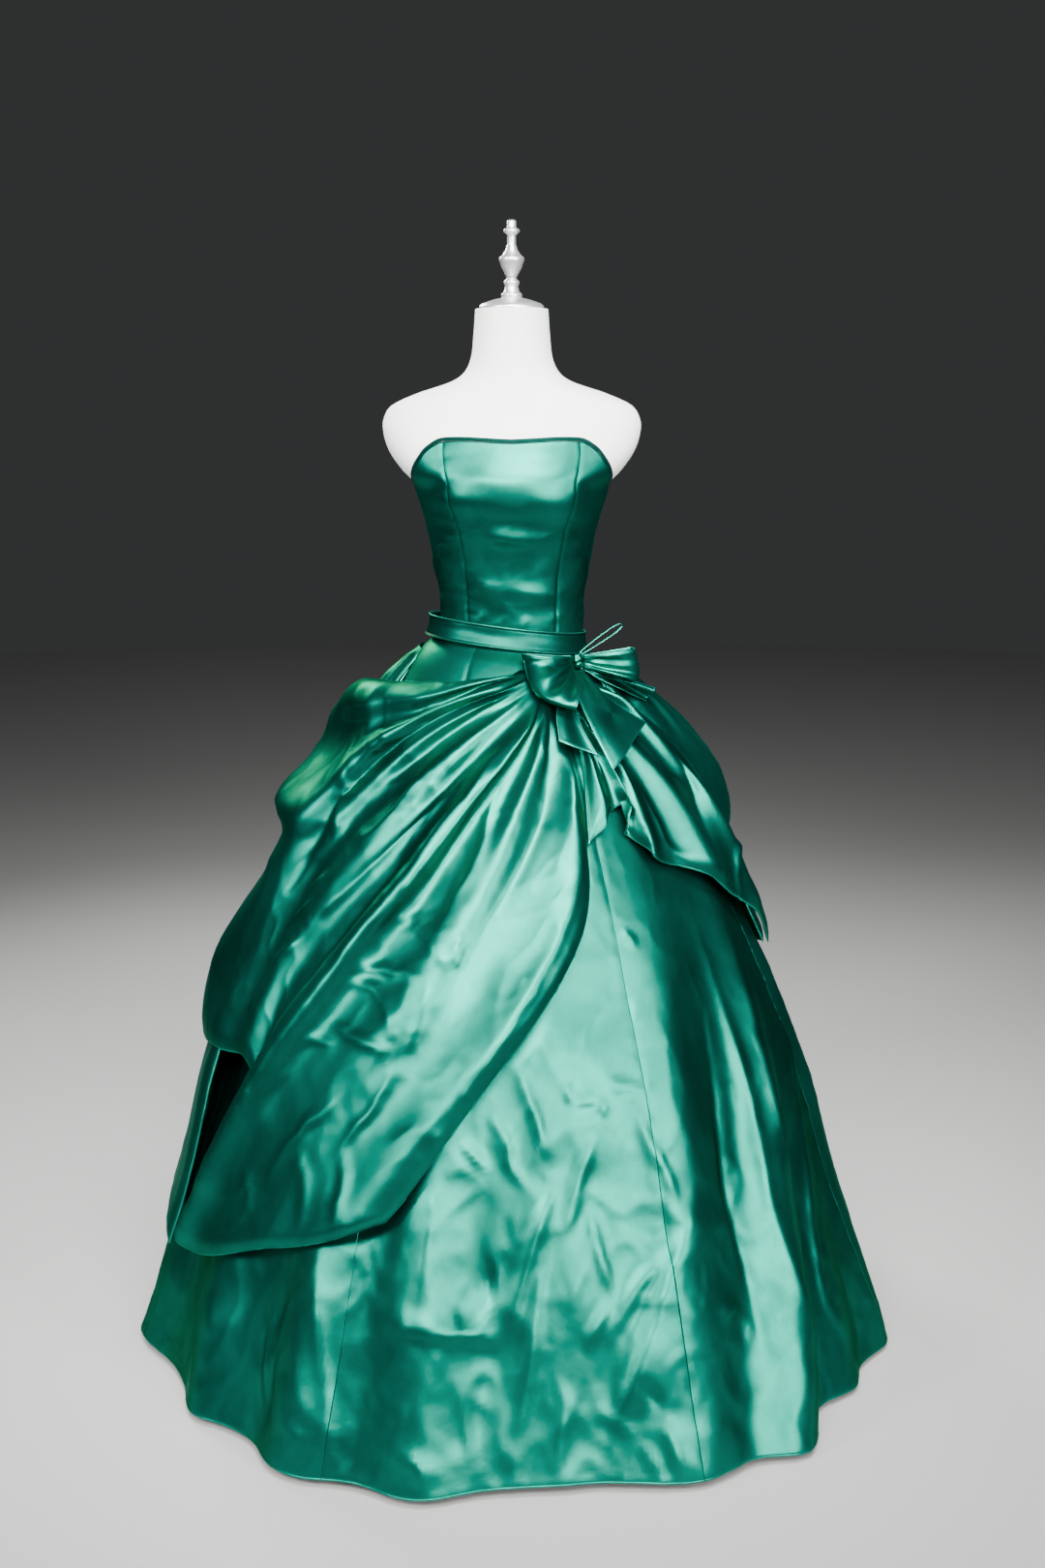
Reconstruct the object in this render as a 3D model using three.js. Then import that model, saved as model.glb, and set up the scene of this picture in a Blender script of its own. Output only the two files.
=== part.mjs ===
// A strapless satin ball gown with a belt, a bow and a draped overskirt, on a limbless dress form.
// Millimetres, +Z up, the front towards -Y. The origin is the middle of the stand's underside.
// An angle goes round the figure from the front middle, in degrees, positive towards +X.
import * as THREE from "three";

// Driving sizes
const FORM_TOP = 1584;
const FORM_BOTTOM = 866;
const NECKLINE_FRONT = 1388;
const WAIST = 1104;
const WAIST_TILT = 14;
const HEM = 10;
const SEAM_GAP = 0.3;
const REST_GAP = 0.9;
const FORM_GAP = 2.1;
const BODICE_WALL = 2.4;
const SKIRT_WALL = 2;
const DRAPE_WALL = 2;
const RIBBON_WALL = 1.6;
const LAYER_GAP = 7;
const BELT_HEIGHT = 32;
const BELT_WALL = 2.4;
const BASE_RADIUS = 190;
const BASE_HEIGHT = 24;
const POLE_RADIUS = 14;

const RADIANS = Math.PI / 180;
const clamp = (x, low = 0, high = 1) => Math.min(high, Math.max(low, x));
const mix = (a, b, t) => a + (b - a) * t;
const bump = (x) => Math.exp(-x * x);

function ramp(from, to, x) {
  const t = clamp((x - from) / (to - from));
  return t * t * (3 - 2 * t);
}

// The larger of two values, rounded over where they meet.
function softMax(a, b, round = 6) {
  return (a + b + Math.sqrt((a - b) ** 2 + round ** 2)) / 2;
}

// A smooth curve through the points (xs, ys), read at x.
function curve(xs, ys, x) {
  const last = xs.length - 1;
  const at = clamp(x, xs[0], xs[last]);
  let i = 0;
  while (i < last - 1 && at > xs[i + 1]) i++;
  const slope = (k) => {
    const a = Math.max(k - 1, 0);
    const b = Math.min(k + 1, last);
    return (ys[b] - ys[a]) / (xs[b] - xs[a]);
  };
  const width = xs[i + 1] - xs[i];
  const t = (at - xs[i]) / width;
  const rise = ys[i + 1] - ys[i];
  const m0 = slope(i) * width;
  const m1 = slope(i + 1) * width;
  return ys[i] + t * (m0 + t * (3 * rise - 2 * m0 - m1 + t * (m0 + m1 - 2 * rise)));
}

const column = (rows, name) => rows.map((row) => row[name]);
const turned = (angle) => ((((angle + 180) % 360) + 360) % 360) - 180;

// Walls of cloth

// A closed wall of cloth. Its face side is point(u, v), and its back is that face moved in by its thickness:
// square to the facets round each point, or square to the true surface along the side seams.
function clothWall({ point, columns, rows, thick, facing, ring = false, probe = 0.5 }) {
  const step = 1e-3;
  const across = ring ? columns : columns + 1;
  const normalAt = (u, v) => {
    const alongU = point(Math.min(u + step, 1), v).sub(point(Math.max(u - step, 0), v));
    const alongV = point(u, Math.min(v + step, 1)).sub(point(u, Math.max(v - step, 0)));
    return alongU.cross(alongV).normalize();
  };
  const faces = [];
  for (let j = 0; j <= rows; j++) {
    for (let i = 0; i < across; i++) faces.push(point(i / columns, j / rows));
  }
  const normals = faces.map(() => new THREE.Vector3());
  const index = [];
  const quad = (a, b, c, d) => index.push(a, b, c, a, c, d);
  const miss = (a, b, centre) => centre.distanceTo(faces[a].clone().lerp(faces[b], 0.5));
  const id = (i, j, side) => side * faces.length + j * across + (i % across);
  for (let j = 0; j < rows; j++) {
    for (let i = 0; i < columns; i++) {
      const [a, b, c, d] = [id(i, j, 0), id(i + 1, j, 0), id(i + 1, j + 1, 0), id(i, j + 1, 0)];
      const corners = [a, b, c, d];
      const centre = point((i + 0.5) / columns, (j + 0.5) / rows);
      if (miss(b, d, centre) < miss(a, c, centre)) corners.push(corners.shift());
      quad(...corners);
      const [e, f, g, h] = corners.map((k) => k + faces.length);
      quad(e, h, g, f);
      for (const [m, n] of [[1, 2], [2, 3]]) {
        const [p, q, r] = [corners[0], corners[m], corners[n]];
        const normal = faces[q].clone().sub(faces[p]).cross(faces[r].clone().sub(faces[p]));
        for (const k of [p, q, r]) normals[k].add(normal);
      }
    }
  }
  for (let i = 0; i < columns; i++) {
    quad(id(i, 0, 1), id(i + 1, 0, 1), id(i + 1, 0, 0), id(i, 0, 0));
    quad(id(i, rows, 0), id(i + 1, rows, 0), id(i + 1, rows, 1), id(i, rows, 1));
  }
  for (let j = 0; j < rows && !ring; j++) {
    quad(id(0, j, 0), id(0, j + 1, 0), id(0, j + 1, 1), id(0, j, 1));
    quad(id(columns, j, 1), id(columns, j + 1, 1), id(columns, j + 1, 0), id(columns, j, 0));
  }
  for (let j = 0; j <= rows && !ring; j++) {
    for (const i of [0, columns]) normals[id(i, j, 0)].copy(normalAt(i / columns, j / rows));
  }
  const outwards = Math.sign(normalAt(probe, 0.5).dot(facing(point(probe, 0.5)))) || 1;
  const backs = faces.map((face, k) =>
    face.clone().addScaledVector(normals[k].normalize(), -outwards * thick),
  );
  return closedGeometry([...faces, ...backs], index);
}

// A solid skinned over rings of points, closed by a fan at each end.
function loft(rings) {
  const sides = rings[0].length;
  const vertices = rings.flat();
  const index = [];
  for (let j = 0; j + 1 < rings.length; j++) {
    for (let i = 0; i < sides; i++) {
      const [a, b] = [j * sides + i, j * sides + ((i + 1) % sides)];
      index.push(a, b, b + sides, a, b + sides, a + sides);
    }
  }
  for (const [j, flip] of [[0, true], [rings.length - 1, false]]) {
    const centre = new THREE.Vector3();
    for (const p of rings[j]) centre.addScaledVector(p, 1 / sides);
    vertices.push(centre);
    for (let i = 0; i < sides; i++) {
      const [a, b] = [j * sides + i, j * sides + ((i + 1) % sides)];
      index.push(vertices.length - 1, ...(flip ? [b, a] : [a, b]));
    }
  }
  return closedGeometry(vertices, index);
}

// The geometry of a closed mesh, with its faces turned outwards.
function closedGeometry(vertices, index) {
  let volume = 0;
  for (let i = 0; i < index.length; i += 3) {
    const [a, b, c] = [0, 1, 2].map((k) => vertices[index[i + k]]);
    volume += a.dot(b.clone().cross(c));
  }
  const order = volume < 0 ? index.slice().reverse() : index;
  const geometry = new THREE.BufferGeometry().setFromPoints(vertices);
  geometry.setIndex(order);
  geometry.computeVertexNormals();
  return geometry;
}

// The figure

// Half width, depth to the front and depth to the back of the form at each height.
const FORM_SECTIONS = [
  { z: FORM_BOTTOM, half: 144, front: 90, back: 106 },
  { z: 890, half: 154, front: 97, back: 114 },
  { z: 960, half: 152, front: 100, back: 116 },
  { z: 1020, half: 128, front: 93, back: 98 },
  { z: 1060, half: 110, front: 83, back: 80 },
  { z: 1090, half: 105, front: 80, back: 73 },
  { z: 1120, half: 104, front: 80, back: 71.5 },
  { z: 1150, half: 104.5, front: 82, back: 72.5 },
  { z: 1178, half: 107, front: 86, back: 76 },
  { z: 1222, half: 116, front: 93, back: 83 },
  { z: 1259, half: 123, front: 103, back: 88 },
  { z: 1286, half: 130, front: 112, back: 91 },
  { z: 1308, half: 137, front: 116.5, back: 93 },
  { z: 1328, half: 144.5, front: 116, back: 95 },
  { z: 1348, half: 164, front: 111, back: 97 },
  { z: 1377, half: 184, front: 99, back: 98 },
  { z: 1407, half: 193, front: 87, back: 97 },
  { z: 1427, half: 191, front: 79, back: 93 },
  { z: 1445, half: 178, front: 73, back: 86 },
  { z: 1462, half: 140, front: 68, back: 79 },
  { z: 1478, half: 92, front: 63, back: 72 },
  { z: 1491, half: 72, front: 60, back: 67 },
  { z: 1513, half: 61, front: 58, back: 62 },
  { z: 1550, half: 56.5, front: 56, back: 58 },
  { z: FORM_TOP, half: 54, front: 54, back: 54 },
];
const BUST = { angle: 31, z: 1310, rise: 7, spread: 17, height: 34 };

function sectionAt(rows, z) {
  const heights = column(rows, "z");
  const read = (name) => curve(heights, column(rows, name), z);
  return { half: read("half"), front: read("front"), back: read("back") };
}

// A point of an upright surface with these half sizes, moved out level by some millimetres.
function around({ half, front, back }, angle, z, out = 0) {
  const [s, c] = [Math.sin(angle * RADIANS), Math.cos(angle * RADIANS)];
  const depth = c > 0 ? front : back;
  return new THREE.Vector3((half + out) * s, -(depth + out) * c, z);
}

function formPoint(angle, z) {
  const cup = (side) => bump((turned(angle) - side * BUST.angle) / BUST.spread);
  const bust = BUST.rise * (cup(1) + cup(-1)) * bump((z - BUST.z) / BUST.height);
  return around(sectionAt(FORM_SECTIONS, z), angle, z, bust);
}

// A point that stands off the form, square to its surface.
function offForm(angle, z, out) {
  const round = formPoint(angle + 0.5, z).sub(formPoint(angle - 0.5, z));
  const up = formPoint(angle, z + 2).sub(formPoint(angle, z - 2));
  return formPoint(angle, z).addScaledVector(round.cross(up).normalize(), out);
}

const awayFromAxis = (p) => new THREE.Vector3(p.x, p.y, 0);

// The waist seam, which slopes down towards the bow
const waistAt = (angle) => WAIST - WAIST_TILT * Math.sin(angle * RADIANS);

// The bodice

const NECKLINE = [
  { angle: 0, z: NECKLINE_FRONT },
  { angle: 31, z: 1391 },
  { angle: 41, z: 1379 },
  { angle: 50, z: 1362 },
  { angle: 66, z: 1338 },
  { angle: 78, z: 1326 },
  { angle: 92, z: 1318 },
  { angle: 135, z: 1296 },
  { angle: 180, z: 1286 },
];
const necklineAt = (angle) =>
  curve(column(NECKLINE, "angle"), column(NECKLINE, "z"), Math.abs(turned(angle)));

// The princess seam leans in towards the neckline.
const PRINCESS = {
  z: [1104, 1180, 1250, 1311, 1340, 1390],
  angle: [38, 37.5, 37, 39.5, 36, 31.5],
};
const princessAt = (z) => curve(PRINCESS.z, PRINCESS.angle, z);
const SIDE_SEAM = 92;
const BACK_SEAM = 137;

// Soft folds across the bodice: height at the middle, slope to the right, rise, half height, and spread round
const BODICE_FOLDS = [
  { z: 1256, slope: -0.1, rise: 3.2, half: 13, angle: 6, spread: 46 },
  { z: 1176, slope: -0.35, rise: 2.4, half: 13, angle: -4, spread: 26 },
  { z: 1200, slope: 0.2, rise: 2, half: 12, angle: 160, spread: 60 },
  { z: 1347, slope: 0, rise: 3, half: 24, angle: 60, spread: 24 },
  { z: 1347, slope: 0, rise: 3, half: 24, angle: -60, spread: 24 },
];

function bodiceOut(angle, z) {
  let out = FORM_GAP + BODICE_WALL;
  for (const fold of BODICE_FOLDS) {
    const round = turned(angle - fold.angle);
    const line = fold.z + fold.slope * round;
    out += fold.rise * bump((z - line) / fold.half) * bump(round / fold.spread);
  }
  return out;
}

const BODICE_PANELS = [
  { name: "bodice_front", from: (z) => -princessAt(z), to: princessAt, columns: 8 },
  { name: "bodice_side_front_left", from: princessAt, to: () => SIDE_SEAM, columns: 8 },
  { name: "bodice_side_back_left", from: () => SIDE_SEAM, to: () => BACK_SEAM, columns: 4 },
  { name: "bodice_back_left", from: () => BACK_SEAM, to: () => 180, columns: 4 },
  { name: "bodice_back_right", from: () => 180, to: () => 360 - BACK_SEAM, columns: 4 },
  {
    name: "bodice_side_back_right",
    from: () => 360 - BACK_SEAM,
    to: () => 360 - SIDE_SEAM,
    columns: 4,
  },
  {
    name: "bodice_side_front_right",
    from: () => 360 - SIDE_SEAM,
    to: (z) => 360 - princessAt(z),
    columns: 8,
  },
];
const BODICE_ROWS = 12;

function bodicePanel({ from, to, columns }) {
  const halfGap = SEAM_GAP / 2 / 105 / RADIANS;
  const heightAt = (angle, v) => mix(necklineAt(angle), waistAt(angle) + SEAM_GAP / 2, v);
  const seamAt = (seam, v) => {
    let angle = seam(WAIST);
    for (let i = 0; i < 6; i++) angle = seam(heightAt(angle, v));
    return angle;
  };
  const point = (u, v) => {
    const angle = mix(seamAt(from, v) + halfGap, seamAt(to, v) - halfGap, u);
    const z = heightAt(angle, v);
    return offForm(angle, z, bodiceOut(angle, z));
  };
  return clothWall({ point, columns, rows: BODICE_ROWS, thick: BODICE_WALL, facing: awayFromAxis });
}

// The dark binding that finishes the top edge
function neckBinding() {
  const [height, thick] = [5.5, 3.4];
  const point = (u, v) => {
    const angle = u * 360;
    const z = necklineAt(angle) + 0.6 + height * (1 - v);
    return offForm(angle, z, FORM_GAP + thick);
  };
  return clothWall({ point, columns: 56, rows: 1, thick, facing: awayFromAxis, ring: true });
}

// The skirt

const SKIRT_SECTIONS = [
  { z: 0, half: 580, front: 612, back: 612 },
  { z: 142, half: 534, front: 560, back: 562 },
  { z: 271, half: 494, front: 512, back: 516 },
  { z: 357, half: 470, front: 482, back: 488 },
  { z: 459, half: 440, front: 448, back: 454 },
  { z: 570, half: 398, front: 404, back: 412 },
  { z: 680, half: 350, front: 354, back: 366 },
  { z: 790, half: 298, front: 298, back: 314 },
  { z: 890, half: 245, front: 240, back: 258 },
  { z: 970, half: 198, front: 190, back: 206 },
  { z: 1033, half: 160, front: 144, back: 156 },
  { z: 1068, half: 137, front: 113, back: 117 },
  { z: 1088, half: 115, front: 92, back: 86 },
  { z: 1104, half: 109.5, front: 86.5, back: 78.5 },
];

// Flutes of the skirt: angle at the hem, how far they turn on the way up, height at the hem and half width.
const SKIRT_FLUTES = [
  { angle: -79, turn: -12, rise: 42, half: 8 },
  { angle: -53, turn: -14, rise: 26, half: 5.5 },
  { angle: -30, turn: -10, rise: 42, half: 7.5 },
  { angle: -13, turn: -5, rise: 44, half: 7.5 },
  { angle: 26, turn: 14, rise: 46, half: 9 },
  { angle: 42, turn: 33, rise: 66, half: 6.4 },
  { angle: 61, turn: 20, rise: 26, half: 5.5 },
  { angle: 77, turn: 12, rise: 46, half: 7 },
  { angle: 98, turn: 10, rise: 44, half: 8 },
  { angle: 119, turn: 8, rise: 50, half: 8 },
  { angle: 141, turn: 5, rise: 46, half: 8 },
  { angle: 163, turn: 2, rise: 52, half: 8 },
  { angle: -174, turn: 0, rise: 48, half: 8 },
  { angle: -151, turn: -4, rise: 50, half: 8 },
  { angle: -127, turn: -7, rise: 46, half: 8 },
  { angle: -103, turn: -10, rise: 44, half: 8 },
];
const FLUTE_SINK = 22;
const FLUTE_CREST = 31;
const FLUTE_TOP = 1010;
const HEM_FLUTES_LIFT = 7;

function fluteWave(angle, z) {
  let wave = 0;
  for (const flute of SKIRT_FLUTES) {
    const at = flute.angle + (flute.turn * z) / WAIST;
    wave += flute.rise * bump(turned(angle - at) / flute.half);
  }
  return wave;
}

const fluteGrowth = (z) => ramp(FLUTE_TOP, 180, z) * 0.72 + ramp(330, HEM, z) * 0.28;
const skirtOut = (angle, z) => (fluteWave(angle, z) - FLUTE_SINK) * fluteGrowth(z);

// The level that the cloth above lies on: it bridges from crest to crest.
const crestOut = (angle, z) => softMax(skirtOut(angle, z), FLUTE_CREST * fluteGrowth(z), 4);

// Near the waist the skirt follows the sloping seam.
function skirtSection(angle, z) {
  const slope = (waistAt(angle) - WAIST) * ramp(860, WAIST, z);
  return sectionAt(SKIRT_SECTIONS, z - slope);
}

const skirtPoint = (angle, z, out = skirtOut(angle, z)) =>
  around(skirtSection(angle, z), angle, z, out);

const GORE_SEAMS = [-26, 26, 76, 129, 180, 231, 282, 334];
const GORE_NAMES = [
  "skirt_front",
  "skirt_side_front_left",
  "skirt_side_back_left",
  "skirt_back_left",
  "skirt_back_right",
  "skirt_side_back_right",
  "skirt_side_front_right",
];
const GORE_COLUMNS = 10;
const GORE_ROWS = 13;

// How far down the cloth each row lies: the rows stand closer near the waist, where it turns out quickly.
const ROW_DROPS = [0, 0.015, 0.024, 0.037, 0.06, 0.1, 0.16, 0.24, 0.34, 0.46, 0.6, 0.74, 0.87, 1];
const dropAt = (v) => curve(ROW_DROPS.map((_, i) => i / GORE_ROWS), ROW_DROPS, v);
const hemAt = (angle) => HEM + HEM_FLUTES_LIFT * (1 + Math.sin(3 * angle * RADIANS + 1)) / 2;

function skirtGore(from, to) {
  const point = (u, v) => {
    const middle = (from + to) / 2;
    const drop = dropAt(v);
    const roughZ = mix(waistAt(middle), HEM, drop);
    const halfGap = (0.75 * SEAM_GAP) / sectionAt(SKIRT_SECTIONS, roughZ).half / RADIANS;
    const angle = mix(from + halfGap, to - halfGap, u);
    const z = mix(waistAt(angle) - SEAM_GAP / 2, hemAt(angle), drop);
    return skirtPoint(angle, z);
  };
  return clothWall({
    point,
    columns: GORE_COLUMNS,
    rows: GORE_ROWS,
    thick: SKIRT_WALL,
    facing: awayFromAxis,
  });
}

// The belt, a stiff band that stands off at the side away from the bow

// Half sizes of the belt's face, by height above the waist seam
const BELT_SECTIONS = [
  { z: -16, half: 119, front: 96.5, back: 90.5 },
  { z: 0, half: 113.5, front: 91, back: 83 },
  { z: 16, half: 112, front: 90, back: 81 },
];
const BELT_STAND = { angle: -98, out: 14, spread: 62 };

function belt() {
  const point = (u, v) => {
    const angle = u * 360;
    const up = BELT_HEIGHT * (0.5 - v);
    const stand = BELT_STAND.out * bump(turned(angle - BELT_STAND.angle) / BELT_STAND.spread);
    return around(sectionAt(BELT_SECTIONS, up), angle, waistAt(angle) + up, stand);
  };
  return clothWall({ point, columns: 48, rows: 2, thick: BELT_WALL, facing: awayFromAxis, ring: true });
}

// Drapes: a fan of cloth that is pleated in under the bow and spread over the skirt

// A guide is a line of the cloth from the bow to its far edge. Its place across the cloth is s, from 0 to 1.
const STATIONS = [0, 0.2, 0.4, 0.6, 0.8, 1];

function guidePlace(guides, s, t) {
  const places = column(guides, "s");
  const read = (name) =>
    curve(places, guides.map((guide) => curve(STATIONS, guide[name], t)), s);
  return { angle: read("angle"), z: read("z") };
}

// Rise of the folds that run along a drape: they start at one place across it and end at another.
function foldRise(folds, s, t) {
  let rise = 0;
  for (const fold of folds) {
    const at = mix(fold.s, fold.end, t);
    const half = (s < at ? fold.before : fold.after) * mix(0.8, 1.15, t);
    const grow = ramp(fold.start, fold.start + 0.14, t) * (1 - ramp(fold.stop - 0.2, fold.stop, t));
    rise += fold.rise * grow * bump((s - at) / half);
  }
  return rise;
}

// Swells of a drape over the skirt
function swellRise(swells, angle, z) {
  let rise = 0;
  for (const swell of swells) {
    rise +=
      swell.rise *
      bump(turned(angle - swell.angle) / swell.round) *
      bump((z - swell.z) / (z > swell.z ? swell.above : swell.below));
  }
  return rise;
}

// The long panel of the overskirt that falls behind
const TAIL_EDGE = { angle: [-262, -220, -180, -140, -100, -68], z: [600, 520, 420, 320, 240, 205] };
const TAIL_SWELLS = [
  { angle: -180, z: 760, rise: 22, round: 70, above: 130, below: 260 },
  { angle: -84, z: 500, rise: 12, round: 16, above: 90, below: 120 },
];
const TAIL_FLUTES = { count: 9, rise: 16 };

function tailOut(angle, z) {
  const under = crestOut(angle, z) + LAYER_GAP * ramp(1075, 1030, z) + DRAPE_WALL;
  const round = -turned(angle - 180) / 360;
  const waves = 1 + Math.cos(round * 2 * Math.PI * TAIL_FLUTES.count + 2 * Math.sin(round * 9));
  const flutes = (TAIL_FLUTES.rise / 2) * waves * ramp(1000, 500, z);
  return under + flutes + swellRise(TAIL_SWELLS, angle, z);
}

function tailPoint(u, v) {
  const lean = mix(-68, -262, u);
  const low = curve(TAIL_EDGE.angle, TAIL_EDGE.z, lean);
  const top = waistAt(lean) - 30;
  const z = mix(top, low, dropAt(v));
  const angle = lean - 26 * (1 - v) ** 1.5 * ramp(-120, -68, lean);
  const settle = ramp(0, 0.12, v);
  const out = mix(skirtOut(angle, z) + 2 * REST_GAP + DRAPE_WALL, tailOut(angle, z), settle);
  return skirtPoint(angle, z, out);
}

// Two poufs that are caught up behind the hips: rise by place between the low edge (0) and the waist (1)
const POUF_PROFILE = {
  place: [0, 0.09, 0.19, 0.32, 0.45, 0.66, 0.83, 0.93, 1],
  rise: [0, 24, 44, 58, 63, 56, 34, 16, 0],
};
const POUFS = [
  { name: "bustle_pouf_left", side: 1, from: 58, full: 100, low: 775, size: 1 },
  { name: "bustle_pouf_right", side: -1, from: 84, full: 116, low: 765, size: 0.9 },
];
const POUF_LAYER = 2 + DRAPE_WALL;
const POUF_END = 179.2;
const POUF_SAG = 60;

function poufLow(pouf, angle) {
  const round = Math.abs(turned(angle));
  return pouf.low - POUF_SAG * bump((round - 142) / 26) + 40 * bump((round - 180) / 14);
}

function poufRise(pouf, angle, z) {
  const round = Math.abs(turned(angle));
  const low = poufLow(pouf, angle);
  const place = (z - low) / (waistAt(angle) - 34 - low);
  const across = ramp(pouf.from, pouf.full, round) * (1 - 0.7 * bump((round - 180) / 13));
  return pouf.size * across * curve(POUF_PROFILE.place, POUF_PROFILE.rise, place);
}

function poufPoint(pouf) {
  return (u, v) => {
    const angle = pouf.side * mix(pouf.from, POUF_END, u);
    const z = mix(waistAt(angle) - 34, poufLow(pouf, angle), v);
    return skirtPoint(angle, z, tailOut(angle, z) + POUF_LAYER + poufRise(pouf, angle, z));
  };
}

// The level that the front drapes lie on, at each side
function sideOut(pouf, angle, z) {
  const round = Math.abs(turned(angle));
  const layer = POUF_LAYER * ramp(pouf.from - 12, pouf.from - 2, round);
  const covered = ramp(poufLow(pouf, angle) - 30, poufLow(pouf, angle), z);
  return tailOut(angle, z) + layer * covered + poufRise(pouf, angle, z);
}

// The large drape across the front, from the bow down to the hem at the wearer's right
const LEFT_GUIDES = [
  { s: 0, angle: [16, -14, -38, -62, -92, -124], z: [1066, 1055, 1049, 1044, 1036, 1000] },
  { s: 0.1, angle: [15, -14, -37, -60, -90, -122], z: [1062, 1042, 1008, 980, 925, 850] },
  { s: 0.22, angle: [15, -20, -44, -62, -72, -90], z: [1055, 1024, 976, 890, 740, 520] },
  { s: 0.34, angle: [15, -16, -38, -56, -64, -68], z: [1049, 1000, 930, 820, 670, 502] },
  { s: 0.44, angle: [15, -12, -31, -47, -55, -57], z: [1043, 976, 880, 765, 640, 505] },
  { s: 0.52, angle: [15, -6, -24, -40, -51, -54.5], z: [1037, 966, 866, 730, 580, 422] },
  { s: 0.6, angle: [16, 0, -17, -35, -51, -63.5], z: [1032, 958, 855, 700, 490, 231] },
  { s: 0.8, angle: [19, 13, 4, -9, -24, -41], z: [1016, 940, 830, 680, 500, 283] },
  { s: 1, angle: [24, 24, 22.5, 17, -4.7, -19.5], z: [1000, 930, 845, 722, 526, 354] },
];
const LEFT_FOLDS = [
  { s: 0.05, end: 0.04, start: 0, stop: 1.2, rise: 20, before: 0.04, after: 0.035 },
  { s: 0.2, end: 0.19, start: 0, stop: 1.2, rise: 27, before: 0.06, after: 0.045 },
  { s: 0.3, end: 0.3, start: 0.02, stop: 0.75, rise: 13, before: 0.035, after: 0.03 },
  { s: 0.44, end: 0.42, start: 0.15, stop: 1.2, rise: 17, before: 0.045, after: 0.04 },
  { s: 0.6, end: 0.6, start: 0, stop: 1.1, rise: 26, before: 0.06, after: 0.03 },
  { s: 0.72, end: 0.76, start: 0.05, stop: 0.85, rise: 15, before: 0.04, after: 0.05 },
  { s: 0.95, end: 0.93, start: 0.1, stop: 1.3, rise: 15, before: 0.07, after: 0.06 },
];
const LEFT_SWELLS = [
  { angle: -92, z: 1030, rise: 22, round: 24, above: 22, below: 55 },
  { angle: -90, z: 846, rise: 46, round: 20, above: 44, below: 30 },
  { angle: -90, z: 600, rise: 16, round: 22, above: 90, below: 70 },
];

function leftPoint(s, t) {
  const { angle, z } = guidePlace(LEFT_GUIDES, s, t);
  const floor = mix(crestOut(angle, z), sideOut(POUFS[1], angle, z), ramp(-60, -70, angle));
  const full = 5 * ramp(0.1, 0.5, t) + foldRise(LEFT_FOLDS, s, t) + swellRise(LEFT_SWELLS, angle, z);
  const draped = floor + LAYER_GAP + DRAPE_WALL + full;
  const root = skirtOut(angle, z) + REST_GAP + DRAPE_WALL;
  return skirtPoint(angle, z, mix(root, draped, ramp(0, 0.12, t)));
}

// The shorter drape on the bow's own side, whose edge runs in flutes
const RIGHT_GUIDES = [
  { s: 0, angle: [27, 27, 26.5, 25, 23.5, 22.5], z: [1004, 970, 935, 900, 866, 834] },
  { s: 0.16, angle: [28.5, 29, 29.5, 30, 30.5, 31], z: [1012, 985, 960, 932, 902, 868] },
  { s: 0.28, angle: [29.5, 31, 33, 34.5, 36, 37.5], z: [1018, 990, 965, 938, 910, 880] },
  { s: 0.38, angle: [30.5, 33, 35, 36, 36, 36], z: [1023, 990, 955, 918, 878, 838] },
  { s: 0.5, angle: [32, 36, 39, 41, 42, 42], z: [1030, 990, 948, 902, 855, 806] },
  { s: 0.66, angle: [35, 43, 49, 53, 55.5, 57], z: [1038, 1000, 948, 890, 828, 768] },
  { s: 0.84, angle: [39, 54, 63, 69, 72, 74], z: [1047, 1014, 950, 866, 780, 698] },
  { s: 1, angle: [43, 63, 73.5, 75, 83, 91], z: [1054, 1018, 950, 850, 730, 614] },
];
const RIGHT_FOLDS = [
  { s: 0.12, end: 0.12, start: 0.2, stop: 1.3, rise: 12, before: 0.05, after: 0.04 },
  { s: 0.29, end: 0.28, start: 0.15, stop: 1.3, rise: 20, before: 0.04, after: 0.04 },
  { s: 0.48, end: 0.47, start: 0, stop: 1.3, rise: 20, before: 0.04, after: 0.05 },
  { s: 0.66, end: 0.7, start: 0.05, stop: 1.1, rise: 14, before: 0.06, after: 0.05 },
  { s: 0.86, end: 0.86, start: 0.05, stop: 1.1, rise: 16, before: 0.05, after: 0.05 },
];
const RIGHT_SWELLS = [{ angle: 86, z: 680, rise: 8, round: 30, above: 60, below: 80 }];

function rightPoint(s, t) {
  const { angle, z } = guidePlace(RIGHT_GUIDES, s, t);
  const floor = mix(crestOut(angle, z), sideOut(POUFS[0], angle, z), ramp(48, 58, angle));
  const full = 5 * ramp(0.1, 0.6, t) + foldRise(RIGHT_FOLDS, s, t) + swellRise(RIGHT_SWELLS, angle, z);
  const draped = floor + LAYER_GAP + DRAPE_WALL + full;
  const root = skirtOut(angle, z) + REST_GAP + DRAPE_WALL;
  return skirtPoint(angle, z, mix(root, draped, ramp(0, 0.12, t)));
}

// The bow

const KNOT = new THREE.Vector3(98, -85.2, 1070);
const KNOT_SIZE = new THREE.Vector3(7.6, 7.6, 12.5);
const BOW_TURN = 20;
const BOW_OUT = new THREE.Vector3(Math.sin(BOW_TURN * RADIANS), -Math.cos(BOW_TURN * RADIANS), 0);

// How far the drapes stand off the skirt under the bow, by height
const COVER = { z: [860, 900, 940, 980, 1010, 1040, 1060, 1080], out: [50, 48, 46, 41, 34, 22, 13, 8] };

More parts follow.
